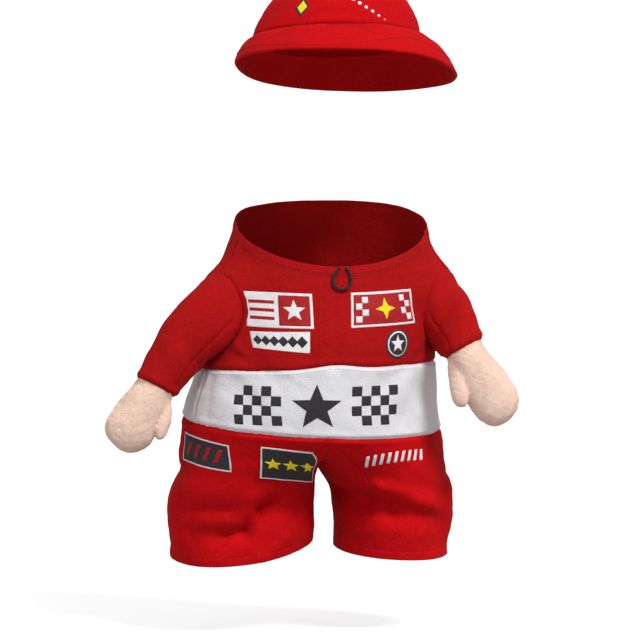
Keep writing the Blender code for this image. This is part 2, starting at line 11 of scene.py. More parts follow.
import bpy
import numpy as np
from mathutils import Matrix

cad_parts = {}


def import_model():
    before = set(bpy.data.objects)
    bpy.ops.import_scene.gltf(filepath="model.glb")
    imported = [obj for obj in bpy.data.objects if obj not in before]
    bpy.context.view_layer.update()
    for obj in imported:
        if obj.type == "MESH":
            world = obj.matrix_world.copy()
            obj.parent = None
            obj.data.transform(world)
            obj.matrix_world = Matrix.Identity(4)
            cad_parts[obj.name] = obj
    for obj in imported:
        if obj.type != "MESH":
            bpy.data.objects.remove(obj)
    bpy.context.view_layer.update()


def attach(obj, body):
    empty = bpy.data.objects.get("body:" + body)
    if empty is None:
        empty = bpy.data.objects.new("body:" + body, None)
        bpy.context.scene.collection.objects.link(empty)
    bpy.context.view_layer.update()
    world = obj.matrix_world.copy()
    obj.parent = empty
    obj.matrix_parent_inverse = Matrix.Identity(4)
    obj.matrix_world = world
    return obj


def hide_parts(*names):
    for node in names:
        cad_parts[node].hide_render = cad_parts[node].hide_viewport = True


MM = 0.001
# Steps from which a form's normals are worked out: in degrees or mm, and as a share
STEP = 0.01
SHARE_STEP = 0.0002

# Cloth, its edges and its seams
THICK = 1.2
BRIM_THICK = 2.2
SEAM_GAP = 0.3
PITCH = 1.35
FINE_PITCH = 1.1
# Distances from an edge, in mm, at which a shell has a row of points of its own, and the share of a
# length that they may take up
EDGE_ROWS = (0.0, 0.35, 0.7, 1.1, 1.6, 2.3, 3.1, 4.0, 4.6, 5.1, 5.6, 6.2, 7.2)
EDGE_SHARE = 0.45
RIM_POINTS = 3
# The sizes of a cloth's large and small unevenness
UNEVEN_SIZES = (24.0, 7.5)
SEAM = {"over": 1.0, "swell": 0.3, "swell_at": 3.0, "swell_over": 1.6}
# How deep the cloth sinks at a seam. It rises where the two cloths of a seam face each other.
SINKS = 1.15
ARMHOLE_SINKS = 0.55
MEETS = -0.5
ALL_SUNK = dict.fromkeys(("bottom", "top", "start", "end"), SINKS)
PUCKER = {"rise": 0.16, "every": 6.3, "fades": 2.6, "sways": 1.3, "sways_over": 17.0}
HEM = {"rise": 0.25, "wide": 5.2, "falls": 1.6, "groove": 0.35, "groove_over": 0.5}

# Trunk, from the neck down to the top of the trousers
TRUNK_COLUMNS = ("height", "mid_x", "mid_y", "half_width", "half_front", "half_back")
TRUNK = [
    (36, 0.5, 3, 58, 42, 45), (22, 0.5, 3, 62, 46, 47.5), (8, 0, 2, 65.5, 50, 50),
    (-8, -1, 1, 68.5, 53.5, 53), (-24, -2.5, 0, 72.5, 57.5, 56), (-45, -4.5, -1, 75, 61.5, 58.5),
    (-65, -7, -2, 76.5, 64.5, 60), (-85, -10.5, -2, 80.5, 66.5, 61), (-105, -13, -2, 84, 67.5, 62),
    (-130, -13, -1, 87, 67, 63), (-150, -12, 0, 89, 65, 63),
]
TRUNK_MEAN_RADIUS = 68.0
SIDE_SEAM = 73.0
SHOULDER = {"angle": 77.0, "height": -24.0, "out": 12.5, "across": 21.0, "tall": 16.0}
ARMHOLE = {"height": -42.5, "half_height": 26.0, "half_angle": 19.0}
ARMHOLE_INSET = 0.45

# Folds lie between two places and are ridges where they rise above 0, and troughs below it.
# Their columns: first angle, first height, second angle, second height, half width, rise
TRUNK_FOLDS = [
    (-1, -48, -1, -128, 9, 2), (-46, -70, -26, -84, 7, -1.6), (-50, -88, -34, -100, 8, -1.4),
    (44, -72, 27, -88, 7, -1.6), (52, -92, 38, -108, 8, -1.4), (-30, -20, -48, -38, 7, -0.9),
    (31, -22, 46, -40, 7, -0.9), (172, -20, 166, -78, 8, -2), (-160, -32, -152, -92, 9, -2),
    (140, -60, 150, -112, 8, -1.8), (-128, -70, -136, -114, 8, -1.8), (180, -95, 180, -124, 9, -1.4),
    (-2.2, -42, -0.5, -75, 2.4, -0.9), (-60, -66, -36, -78, 3, -0.8), (-56, -60, -44, -72, 2.6, 0.5),
    (58, -66, 40, -79, 3, -0.8), (54, -58, 44, -70, 2.6, 0.4), (-38, -84, -42, -108, 3.2, -0.6),
    (22, -86, 18, -106, 3.4, -0.5), (-14, -88, -16, -104, 3, -0.4), (60, -84, 57, -112, 3, -0.7),
    (-66, -82, -62, -110, 3.2, -0.7), (-150, -24, -158, -52, 3, -0.7), (158, -40, 164, -76, 3, -0.6),
    (-172, -58, -170, -78, 2.8, -0.6), (128, -66, 138, -80, 3, -0.7), (-118, -72, -128, -80, 3, -0.7),
    (176, -84, 172, -112, 3.2, -0.6), (-140, -86, -146, -112, 3.2, -0.7),
    (112, -84, 116, -110, 3.2, -0.7),
]

# Legs of the trousers
LEG_COLUMNS = ("height", "mid_x", "mid_y", "half_width", "half_depth")
LEGS = {
    -1: [
        (-140, -56.5, 0, 46, 47), (-152, -57.5, 0, 47, 45), (-170, -59, 0, 49.5, 43.5),
        (-185, -59, 0, 49, 42.5), (-200, -60, 0.5, 46.5, 41), (-222, -60.5, 1, 44.5, 39.5),
    ],
    1: [
        (-140, 38.5, 0, 39.5, 49), (-152, 40.5, 0, 40, 48.5), (-170, 42, 0, 40, 48),
        (-185, 42, 0, 39, 47.5), (-200, 41.5, 0.5, 38, 46), (-222, 41, 1, 37.5, 45),
    ],
}
LEG_MEAN_RADIUS = 44.0
LEG_FOLDS = {
    -1: [
        (-40, -173, -18, -167, 6, -2.6), (-18, -167, -9, -170, 6, -3.6), (-9, -170, 7, -186, 6, -4.6),
        (7, -186, 24, -188, 7, -3.6), (24, -188, 52, -187, 8, -2.6), (16, -171, 62, -171, 7, -2.4),
        (4, -158, 70, -155, 9, 1.6), (66, -146, 112, -147, 7, -3), (-30, -190, -8, -201, 7, 1.8),
        (118, -172, 160, -180, 8, -2.8), (150, -192, 196, -188, 8, -2.8),
        (205, -168, 236, -176, 7, -2.2), (-30, -171, -18, -168, 2.6, -0.8),
        (-16, -168, -9, -171, 2.6, -1.5), (-9, -171, 6, -185, 2.6, -2.3), (6, -185, 22, -187, 2.6, -1.7),
        (22, -187, 46, -186, 2.8, -0.7), (-20, -163, -6, -165, 2.8, 0.7), (-3, -169, 10, -180, 2.6, 0.6),
        (20, -171, 52, -171, 2.6, -0.8), (70, -145, 104, -146, 2.6, -0.8),
        (122, -170, 150, -177, 2.8, -0.8), (156, -190, 188, -187, 2.8, -0.8),
    ],
    1: [
        (-64, -151, -21, -157, 6, 3.3), (-21, -157, 26, -168, 7, 3.4), (-80, -159, -40, -166, 8, -4.2),
        (-40, -166, -12, -172, 9, -4.6), (-12, -172, 44, -182, 8, -3.6), (22, -160, 48, -163, 7, -1.8),
        (60, -150, 105, -152, 8, -2), (30, -196, 84, -199, 9, -1.8), (128, -168, 168, -178, 8, -2.8),
        (112, -190, 150, -196, 8, -2.6), (196, -172, 232, -166, 7, -2.2),
        (-70, -157, -42, -163, 2.6, -0.9), (-38, -163, -14, -168, 2.8, -1.4),
        (-10, -168, 36, -178, 2.8, -1.3), (64, -150, 98, -152, 2.8, -0.7),
        (132, -169, 160, -176, 2.8, -0.8), (116, -191, 144, -195, 2.8, -0.8),
    ],
}
CROTCH = {"mid_x": -13.0, "height": -139.0, "roundness": 0.6}
# The share of a leg's round that lies at the waist, while the rest is its rise
WAIST_SHARE = 28 / 44
INSIDE_ANGLE = 28.0
LEG_STRAIGHT = 0.025
LEG_OPENS_BY = 0.5
LEG_SPARE = 0.2
HEMS = {
    -1: {"height": -198.8, "front": -7.2, "outside": -6.1},
    1: {"height": -201.8, "front": -3.0, "outside": -1.8},
}

# Arms: where the cuff is, where the hand points, and how the sleeve leaves the shoulder
ARMS = {
    -1: {
        "cuff": (-120.5, -25.0, -89.5), "points": (-0.49, -0.08, -0.87), "leaves": (-12.0, -6.0, -6.0),
        "arrives": 24.0, "direct": 0.0, "hand_long": 48.0,
    },
    1: {
        "cuff": (79.0, -54.0, -64.5), "points": (0.44, -0.20, -0.88), "leaves": (7.0, -7.0, -8.5),
        "arrives": 14.0, "direct": 1.0, "hand_long": 57.0,
    },
}
CUFF_RADIUS = 15.2
SLEEVE_LIFT = 0.25
UNDERSIDE_SPREAD = 42.0
ARMHOLE_POINTS = 48
FOLDS_START = 0.25
SLEEVE_MEAN_RADIUS = 18.0
SLEEVE_MEAN_LENGTH = 60.0
SLEEVE_FOLDS = {
    -1: [
        (-40, 0.16, 40, 0.16, 0.12, -0.2), (150, 0.3, 215, 0.4, 0.1, -1.8),
        (230, 0.62, 300, 0.52, 0.09, -1.3), (60, 0.55, 120, 0.62, 0.09, -1.2),
        (245, 0.66, 296, 0.6, 0.045, -0.6), (160, 0.44, 205, 0.5, 0.045, -0.7),
        (20, 0.7, 70, 0.76, 0.05, -0.5),
    ],
    1: [
        (-50, 0.22, 50, 0.22, 0.14, -1.6), (170, 0.34, 290, 0.4, 0.11, -2),
        (215, 0.62, 300, 0.7, 0.1, -1.4), (40, 0.5, 110, 0.46, 0.1, -1.2),
        (200, 0.48, 290, 0.54, 0.045, -0.8), (230, 0.74, 300, 0.8, 0.045, -0.6),
        (30, 0.62, 80, 0.56, 0.05, -0.5),
    ],
}
# The share along at which a sleeve begins, inside the armhole
SLEEVE_TUCK = -0.05
# The sleeve's own seam winds from its front at the armhole to its underside at the cuff
SLEEVE_SEAM = {"starts": 277.0, "turns": -50.0, "deep": 1.3, "wide": 0.95}

# The mitten hand's rings, from the cuff to the tip.
# Their columns: share of its length, half width, half thickness, drift inward
HAND_COLUMNS = ("share", "half_width", "half_thick", "inward")
HAND = [
    (0.14, 14.3, 13.2, 0), (0.34, 15.6, 12.8, -0.6), (0.56, 16.8, 12.2, -1.4), (0.74, 16.4, 11.2, -2),
    (0.87, 13.8, 9.4, -2), (0.96, 8.6, 6, -1.6), (0.995, 3.2, 2.4, -1.4),
]
# Thumbs: how far along the hand, inward and forward of the cuff's centre their two ends are
THUMB = {
    -1: {"root": (2.0, 7.4, 0.6), "tip": (24.0, 16.0, 5.2), "radius": 6.4},
    1: {"root": (3.0, 7.6, 0.6), "tip": (28.5, 17.8, 5.2), "radius": 6.8},
}
THUMB_BLUNT = 0.65
ARM_STARTS = {-1: 0.3, 1: 0.6}
ARM_INSET = 2.2
ARM_NARROWS = 6.0
HAND_VOXEL = 1.5
SWELL = {"inside": 0.3, "hand": 1.3, "comes_over": 8.0}
HAND_MEAN_RADIUS = 14.0
THUMB_CREASE = {"deep": 1.7, "wide": 1.6, "starts": 10.0, "fades": 8.0}
HAND_SEAM = {"at": -3.0, "deep": 0.75, "wide": 0.7, "every": 5.6, "pucker": 0.14, "fades": 3.0}
# The hand's unevenness: rise, size and seed
HAND_NOISE = ((0.35, 16.0, 61), (0.12, 5.0, 71))
# How much of its relief the arm has inside the sleeve, and over how many mm the rest comes in
ARM_RELIEF = {"inside": 0.15, "comes_over": 4.0}

# Neck, waistband and loop
NECK_EDGE = {"side": 15.0, "tilt": 18.0, "dip": 7.5}
BAND_TOP = {"height": -79.0, "front": 2.5, "lean": 1.6, "peak": 3.0, "peak_angle": 13.0}
BAND_FOOT = {"height": -114.3, "front": 7.2, "lean": 4.3, "point": 1.5}
LOOP_THICK = 2.0
LOOP_TWIST = 3.2
LOOP = {
    "root": 1.4, "half_width": 3.3, "slimness": 1.2, "below_edge": 0.6, "drop": 14.0, "taper": 0.75,
    "clear": 0.45, "thin": 0.82, "swells": 0.2,
}

# Cap, in its own upright frame with its origin at the centre of the crown's lower edge
CAP_PLACE = {"at": (2.6, -10.0, 136.0), "turn": (-14.0, -1.2, -12.0)}
CROWN = {"half_width": 55.5, "half_depth": 56.0, "side_seam": 84.0, "lean": 0.08}
CROWN_COLUMNS = ("height", "share")
CROWN_PROFILE = [
    (0, 1), (7, 0.97), (14, 0.915), (22, 0.835), (28, 0.75), (32, 0.66),
]
CROWN_MEAN_RADIUS = 50.0
CROWN_CREASES = [
    (-27, 6, -10, 13.5, 3, 0.5), (-10, 13.5, 12, 13.5, 3, 0.5), (12, 13.5, 27, 7, 3, 0.5),
    (-24, 3, -8, 9, 3, -0.6), (-8, 9, 10, 9, 3, -0.6), (-62, 4, -50, 20, 4, -0.8),
    (58, 6, 50, 22, 4, -0.8), (120, 4, 132, 20, 4, -0.8), (-130, 6, -120, 22, 4, -0.8),
    (175, 4, 172, 22, 4, -0.6),
]
CROWN_TOP = 30.2
TIP = {"height": 32.0, "below": 1.8, "rise": 6.5, "corner": 0.004}
BRIM_COLUMNS = ("angle", "reach", "drop")
BRIM = [
    (-180, 15, 20), (-135, 13, 18), (-84, 11.5, 16), (-45, 22, 17.5), (0, 30, 20.5), (45, 29, 22),
    (84, 24, 26), (135, 18, 23), (180, 15, 20),
]
BRIM_CURVE = {"early": 0.25, "turn_down": 1.7, "fold_out": 0.35, "fold_up": 0.94}
BRIM_UNDER = 1.6
BRIM_MEAN_RADIUS = 68.0
BRIM_MEAN_REACH = 25.0
# How the brim's stitch row strays inward from the line beside its edge, by angle
BRIM_STITCH = [
    (-40, 1), (-30, 1.05), (8, 1.05), (20, 0.94), (41, 0.76), (62, 0.88), (100, 1),
]
# The seam that rises from the brim to the crown at the front and comes down again: angle, share out
BRIM_ARC = [
    (-36, 0.58), (-27, 0.38), (-15, 0.2), (-5, 0.14), (5, 0.18), (14, 0.34), (22, 0.54),
]
BRIM_ARC_SEAM = {"stitch": 0.11, "deep": 2.3, "wide": 0.08, "fades": 8.0}
BRIM_CREASES = [
    (-50, 0.52, -8, 0.44, 0.13, 1.3), (-8, 0.44, 14, 0.56, 0.13, 1), (24, 0.26, 60, 0.34, 0.2, 0.9),
    (-64, 0.25, -52, 0.7, 0.12, -0.5), (72, 0.2, 66, 0.75, 0.12, -0.5), (128, 0.2, 134, 0.8, 0.12, -0.5),
    (-140, 0.2, -132, 0.8, 0.12, -0.5),
]

SIDE_NAMES = {-1: "right", 1: "left"}


# Small tools for tables, directions and curves
def column(table, names, name, at):
    """A table's column at any value of its first column, as a smooth cubic through the rows."""
    rows = np.array(table, float)
    order = np.argsort(rows[:, 0])
    x = rows[order, 0]
    y = rows[order, names.index(name)]
    slope = np.gradient(y, x)
    at = np.clip(np.asarray(at, float), x[0], x[-1])
    i = np.clip(np.searchsorted(x, at) - 1, 0, len(x) - 2)
    wide = x[i + 1] - x[i]
    t = (at - x[i]) / wide
    start = (1 + 2 * t) * (1 - t) ** 2 * y[i] + t * (1 - t) ** 2 * wide * slope[i]
    end = t**2 * (3 - 2 * t) * y[i + 1] - t**2 * (1 - t) * wide * slope[i + 1]
    return start + end


def columns(table, names, at):
    """Every column but the first, by name."""
    return {name: column(table, names, name, at) for name in names[1:]}


def sin(angle):
    return np.sin(np.radians(angle))


def cos(angle):
    return np.cos(np.radians(angle))


def wrapped(angle):
    """The angle between -180 and 180 degrees."""
    return (angle + 180) % 360 - 180


def full_turn(count):
    return np.linspace(0, 360, count, endpoint=False)


def circle(turn, first, second):
    """Places on a unit circle, turning from the first axis to the second."""
    return cos(turn)[..., None] * first + sin(turn)[..., None] * second


def bell(value, width):
    return np.exp(-((value / width) ** 2))


def unit(vectors):
    vectors = np.asarray(vectors, float)
    return vectors / np.maximum(np.linalg.norm(vectors, axis=-1, keepdims=True), 1e-12)


def run_along(line):
    """How far along a line of points each one lies."""
    return np.concatenate([[0], np.cumsum(np.linalg.norm(np.diff(line, axis=0), axis=1))])


def stack(x, y, z):
    return np.stack(np.broadcast_arrays(x, y, z), axis=-1).astype(float)


def smooth_step(t):
    t = np.clip(t, 0, 1)
    return t * t * (3 - 2 * t)


def folds_at(folds, angle, height, radius):
    """How far folds move the cloth out: each is a soft bell across the line between its two ends."""
    out = np.zeros(np.broadcast(angle, height).shape)
    for angle_a, height_a, angle_b, height_b, half_width, rise in folds:
        along = np.radians(wrapped(angle - angle_a)) * radius
        up = height - height_a
        run = math.radians(wrapped(angle_b - angle_a)) * radius
        climb = height_b - height_a
        t = np.clip((along * run + up * climb) / (run**2 + climb**2), 0, 1)
        away = (along - t * run) ** 2 + (up - t * climb) ** 2
        out = out + rise * np.exp(-away / half_width**2)
    return out


def folds_along(folds, angle, share, radius, length):
    """The same for folds whose places and widths along the form are shares of its length."""
    scaled = np.array(folds) * (1, length, 1, length, length, 1)
    return folds_at(scaled, angle, share * length, radius)


def soft_noise(points, size, seed, waves=9):
    """A smooth field of about -1 to 1: sine waves of random direction, length and phase, added up."""
    draw = np.random.default_rng(seed)
    out = np.zeros(points.shape[:-1])
    for _ in range(waves):
        direction = unit(draw.normal(size=3))
        length = size * draw.uniform(0.7, 1.5)
        out = out + np.sin(2 * math.pi * (points @ direction) / length + draw.uniform(0, 2 * math.pi))
    return out / math.sqrt(waves)


# The forms that the cloth pieces are cut from
def trunk(angle, height):
    """Half ellipses front and back at each height, with the shoulders and folds added outward."""
    read = columns(TRUNK, TRUNK_COLUMNS, height)
    depth = np.where(cos(angle) > 0, read["half_front"], read["half_back"])
    x = read["mid_x"] + read["half_width"] * sin(angle)
    base = stack(x, read["mid_y"] - depth * cos(angle), height)
    outward = unit(stack(sin(angle) / read["half_width"], -cos(angle) / depth, 0.0))
    from_shoulder = (np.abs(wrapped(angle)) - SHOULDER["angle"]) / SHOULDER["across"]
    from_top = (height - SHOULDER["height"]) / SHOULDER["tall"]
    out = SHOULDER["out"] * np.exp(-(from_shoulder**2) - from_top**2)
    out = out + folds_at(TRUNK_FOLDS, angle, height, TRUNK_MEAN_RADIUS)
    return base + outward * out[..., None]


def neck_edge(angle):
    return NECK_EDGE["side"] - NECK_EDGE["tilt"] * cos(angle) - NECK_EDGE["dip"] * cos(angle) ** 2


def band_top(angle):
    peak = BAND_TOP["peak"] * bell(wrapped(angle), BAND_TOP["peak_angle"])
    level = BAND_TOP["height"] + BAND_TOP["lean"] * sin(angle)
    return level + BAND_TOP["front"] * (1 + cos(angle)) / 2 + peak


def band_foot(angle):
    front = BAND_FOOT["front"] * ((1 + cos(angle)) / 2) ** BAND_FOOT["point"]
    return BAND_FOOT["height"] - front - BAND_FOOT["lean"] * sin(angle)


def armhole(side, round_angle, inset):
    """(angle, height) on the trunk of a place on the armhole's ellipse: 0 is its top, and 90 its back."""
    shrink = math.degrees(inset / TRUNK_MEAN_RADIUS)
    angle = SIDE_SEAM + (ARMHOLE["half_angle"] - shrink) * sin(round_angle)
    height = ARMHOLE["height"] + (ARMHOLE["half_height"] - inset) * cos(round_angle)
    return side * angle, height


def leg(side, share, down):
    """The top ring follows the trunk from front to back and comes home through the crotch, and lower
    rings are ellipses with the folds added. In between, each point slides from the first to the second."""
    share = share % 1.0
    at_waist = share <= WAIST_SHARE
    outside = np.clip(share / WAIST_SHARE, 0, 1)
    through = np.clip((share - WAIST_SHARE) / (1 - WAIST_SHARE), 0, 1)
    through = np.where(at_waist & (outside < 0.5), 1.0, through)
    waist_angle = side * 180 * outside
    waist = trunk(waist_angle, band_foot(waist_angle) - SEAM_GAP)
    ends = np.array([180.0, 0.0])
    rear, front = trunk(ends, band_foot(ends) - SEAM_GAP)
    sag = (4 * through * (1 - through)) ** CROTCH["roundness"]
    x, y, level = (rear[i] + (front[i] - rear[i]) * through for i in range(3))
    sideways = sag * (CROTCH["mid_x"] - rear[0])
    rise = stack(x + sideways, y, level + sag * (CROTCH["height"] - level))
    top = np.where(at_waist[..., None], waist, rise)
    outer_angle = -INSIDE_ANGLE + (180 + 2 * INSIDE_ANGLE) * outside
    inner_angle = 180 + INSIDE_ANGLE + (180 - 2 * INSIDE_ANGLE) * through
    angle = np.where(at_waist, outer_angle, inner_angle)
    hem = HEMS[side]
    foot = hem["height"] + hem["front"] * cos(angle) + hem["outside"] * sin(angle)
    height = top[..., 2] * (1 - down) + foot * down
    read = columns(LEGS[side], LEG_COLUMNS, height)
    out = folds_at(LEG_FOLDS[side], angle, height, LEG_MEAN_RADIUS)
    low_x = read["mid_x"] + side * (read["half_width"] + out) * sin(angle)
    low_y = read["mid_y"] - (read["half_depth"] + out) * cos(angle)
    opened = (down - LEG_STRAIGHT) / (LEG_OPENS_BY - LEG_STRAIGHT)
    turn = np.sin(math.pi / 2 * np.clip(opened, 0, 1))
    x = top[..., 0] * (1 - turn) + low_x * turn
    centre = rear[0] + sideways
    x = side * np.maximum(side * (x - centre), LEG_SPARE) + centre
    y = top[..., 1] * (1 - turn) + low_y * turn
    return stack(x, y, height)


def leg_by_height(side, share, height):
    """The leg again, with each place's height in the stead of its share down."""
    top = leg(side, share, np.zeros(share.shape))[..., 2]
    foot = leg(side, share, np.ones(share.shape))[..., 2]
    return leg(side, share, (height - top) / (foot - top))


def bezier(points, t):
    a, b, c, d = (np.asarray(p, float) for p in points)
    t = np.asarray(t, float)[..., None]
    return (1 - t) ** 3 * a + 3 * t * (1 - t) ** 2 * b + 3 * t**2 * (1 - t) * c + t**3 * d


def pointing(vector, side):
    """The vector or its opposite, whichever points to that side."""
    return vector * side * np.sign(vector[0])


def along_with(vectors, others):
    """The vectors, turned round where they point against the others."""
    return vectors * np.sign((vectors * others).sum(-1, keepdims=True))


def cuff_frame(side):
    """Centre, direction, outward and backward axes of the cuff."""
    direction = unit(ARMS[side]["points"])
    back = unit(np.array([0.0, 1.0, 0.0]) - direction[1] * direction)
    outward = pointing(np.cross(direction, back), side)
    return np.array(ARMS[side]["cuff"]), direction, outward, back


def sleeve(side, round_angle, along):
    """Rings turn and shrink from the armhole to the round cuff along a cubic middle line. The underside
    of a short sleeve goes straight from one to the other instead, as far as its arm says."""
    arm = ARMS[side]
    edge = trunk(*armhole(side, full_turn(ARMHOLE_POINTS), ARMHOLE_INSET))
    middle = edge.mean(axis=0)
    top, rear, foot, front = edge[:: ARMHOLE_POINTS // 4]
    upward, rearward = unit(top - foot), unit(rear - front)
    start_out = pointing(unit(np.cross(rear - front, top - foot)), side)
    cuff, direction, outward, back = cuff_frame(side)
    path = (middle, middle + np.array(arm["leaves"]), cuff - direction * arm["arrives"], cuff)
    turn = smooth_step(along)[..., None]
    facing = unit((1 - turn) * start_out + turn * direction)
    behind = unit((1 - turn) * rearward + turn * back)
    behind = unit(behind - (behind * facing).sum(-1, keepdims=True) * facing)
    above = along_with(np.cross(facing, behind), (1 - turn) * upward + turn * outward)
    tall = np.linalg.norm(top - foot) / 2
    wide = np.linalg.norm(rear - front) / 2
    height = tall + (CUFF_RADIUS - tall) * turn[..., 0]
    width = wide + (CUFF_RADIUS - wide) * turn[..., 0]
    out = folds_along(SLEEVE_FOLDS[side], round_angle, along, SLEEVE_MEAN_RADIUS, SLEEVE_MEAN_LENGTH)
    from_seam = round_angle - SLEEVE_SEAM["starts"] - SLEEVE_SEAM["turns"] * along
    from_seam = np.radians(wrapped(from_seam)) * SLEEVE_MEAN_RADIUS
    out = out - SLEEVE_SEAM["deep"] * bell(from_seam, SLEEVE_SEAM["wide"])
    out = out * smooth_step(along / FOLDS_START)
    tall_part = ((height + out) * cos(round_angle))[..., None] * above
    flat = tall_part + ((width + out) * sin(round_angle))[..., None] * behind
    first_above = along_with(np.cross(start_out, rearward), top - foot)
    plain_edge = middle + tall * cos(round_angle)[..., None] * first_above
    plain_edge = plain_edge + wide * sin(round_angle)[..., None] * rearward
    true_edge = trunk(*armhole(side, round_angle, ARMHOLE_INSET))
    lift = SLEEVE_LIFT * start_out
    formed = bezier(path, along) + flat + (true_edge - plain_edge + lift) * (1 - turn) ** 2
    start = true_edge + lift
    ring = circle(round_angle, outward, back)
    direct = start + (cuff + CUFF_RADIUS * ring - start) * along[..., None]
    share = arm["direct"] * bell(round_angle - 180, UNDERSIDE_SPREAD)
    return formed + (direct - formed) * share[..., None]


def cap_turn():
    """The cap's turn about X, then Y, then Z, as one matrix."""
    x, y, z = CAP_PLACE["turn"]
    about_x = np.array([[1, 0, 0], [0, cos(x), -sin(x)], [0, sin(x), cos(x)]])
    about_y = np.array([[cos(y), 0, sin(y)], [0, 1, 0], [-sin(y), 0, cos(y)]])
    about_z = np.array([[cos(z), -sin(z), 0], [sin(z), cos(z), 0], [0, 0, 1]])
    return about_z @ about_y @ about_x


def on_cap(points):
    return points @ cap_turn().T + np.array(CAP_PLACE["at"])


def crown(angle, height):
    """Rings that shrink with height as the profile says, and lean to one side."""
    share = column(CROWN_PROFILE, CROWN_COLUMNS, "share", height)
    out = folds_at(CROWN_CREASES, angle, height, CROWN_MEAN_RADIUS)
    x = (CROWN["half_width"] * share + out) * sin(angle) + CROWN["lean"] * height
    y = -(CROWN["half_depth"] * share + out) * cos(angle)
    return on_cap(stack(x, y, height))


def crown_tip(across, back):
    """The crown's round top as a low dome: a square of -1 to 1 each way is rounded to a disc by
    shortening each side by the other's square. Its corners are drawn in a hair so they don't fold flat."""
    shrink = 1 - TIP["corner"] * across**2 * back**2
    across, back = across * shrink, back * shrink
    disc_x = across * np.sqrt(1 - back**2 / 2)
    disc_y = back * np.sqrt(1 - across**2 / 2)
    share = column(CROWN_PROFILE, CROWN_COLUMNS, "share", TIP["height"] - TIP["below"])
    x = CROWN["half_width"] * share * disc_x + CROWN["lean"] * TIP["height"]
    height = TIP["height"] + TIP["rise"] * (1 - disc_x**2 - disc_y**2)
    return on_cap(stack(x, CROWN["half_depth"] * share * disc_y, height))


def brim_arc(angle):
    """The share out at which the seam that rises at the brim's front lies."""
    return column(BRIM_ARC, ("angle", "out"), "out", angle)


def brim(angle, out):
    """The brim's top: it leaves the crown nearly flat and turns down towards its edge."""
    turned = wrapped(angle)
    read = columns(BRIM, BRIM_COLUMNS, turned)
    spread = read["reach"] * out * (1 + BRIM_CURVE["early"] * (1 - out))
    rise = folds_along(BRIM_CREASES, angle, out, BRIM_MEAN_RADIUS, BRIM_MEAN_REACH)
    seam = BRIM_ARC_SEAM
    ends = smooth_step((turned - BRIM_ARC[0][0]) / seam["fades"])
    ends = ends * smooth_step((BRIM_ARC[-1][0] - turned) / seam["fades"])
    rise = rise - seam["deep"] * ends * bell(out - brim_arc(turned), seam["wide"])
    spread = spread + BRIM_CURVE["fold_out"] * rise
    x = (CROWN["half_width"] + spread) * sin(angle)
    y = -(CROWN["half_depth"] + spread) * cos(angle)
    down = read["drop"] * np.abs(out) ** BRIM_CURVE["turn_down"]
    return on_cap(stack(x, y, BRIM_CURVE["fold_up"] * rise - down))


class Skin:
    """A form with the small unevenness of its cloth, read at a place or some mm off it."""

    def __init__(self, form, facing, seed, steps=(STEP, STEP), uneven=(0.32, 0.10)):
        self.form = form
        self.facing = facing
        self.seed = seed
        self.steps = steps
        self.uneven = uneven

    def normal(self, a, b):
        """Unit normals, from the cross product of small steps along both parameters."""
        step_a, step_b = self.steps
        across = self.form(a + step_a, b) - self.form(a - step_a, b)
        along = self.form(a, b + step_b) - self.form(a, b - step_b)
        return unit(np.cross(across, along)) * self.facing

    def at(self, a, b, lift=0.0):
        a, b = np.broadcast_arrays(np.asarray(a, float), np.asarray(b, float))
        points = self.form(a, b)
        rise = self.uneven[0] * soft_noise(points, UNEVEN_SIZES[0], self.seed)
        rise = rise + self.uneven[1] * soft_noise(points, UNEVEN_SIZES[1], self.seed + 1)
        return points + self.normal(a, b) * (rise + lift)[..., None]


TRUNK_SKIN = Skin(trunk, 1, 11)
LEG_SKINS = {
    side: Skin(lambda a, b, side=side: leg(side, a, b), -side, 21, (SHARE_STEP, SHARE_STEP))
    for side in SIDE_NAMES
}
RIGHT_LEG_BY_HEIGHT = Skin(lambda a, b: leg_by_height(-1, a, b), -1, 21, (SHARE_STEP, STEP))
SLEEVE_SKINS = {
    side: Skin(lambda a, b, side=side: sleeve(side, a, b), -side, 31, (STEP, SHARE_STEP))
    for side in SIDE_NAMES
}
CROWN_SKIN = Skin(crown, 1, 41, uneven=(0.28, 0.08))
TIP_SKIN = Skin(crown_tip, 1, 42, (SHARE_STEP, SHARE_STEP), (0.3, 0.08))
BRIM_SKIN = Skin(brim, -1, 43, (STEP, SHARE_STEP), (0.22, 0.07))


# Mesh making
def mesh_of(name, points, *face_arrays, uv=None):
    """A mesh from points in mm, arrays of faces with as many corners each, and each corner's UV."""
    mesh = bpy.data.meshes.new(name)
    mesh.vertices.add(len(points))
    mesh.vertices.foreach_set("co", (points * MM).astype(np.float32).ravel())
    corners = np.concatenate([faces.ravel() for faces in face_arrays])
    sizes = np.concatenate([np.full(len(faces), faces.shape[1]) for faces in face_arrays])
    mesh.loops.add(len(corners))
    mesh.loops.foreach_set("vertex_index", corners.astype(np.int32))
    mesh.polygons.add(len(sizes))
    starts = np.concatenate([[0], np.cumsum(sizes)[:-1]])
    mesh.polygons.foreach_set("loop_start", starts.astype(np.int32))
    mesh.update(calc_edges=True)
    if uv is not None:
        layer = mesh.uv_layers.new(name="cloth")
        layer.uv.foreach_set("vector", (uv * MM).astype(np.float32).ravel())
    mesh.validate()
    mesh.shade_smooth()
    return mesh


def placed(name, data):
    """A new object at the origin."""
    obj = bpy.data.objects.new(name, data)
    bpy.context.scene.collection.objects.link(obj)
    return obj


def new_piece(name, material, points, *face_arrays, uv=None):
    mesh = mesh_of(name, points, *face_arrays, uv=uv)
    mesh.materials.append(material)
    return placed(name, mesh)


def stands_for(piece, node):
    """A piece takes its CAD node's place."""
    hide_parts(node)
    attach(piece, "root")


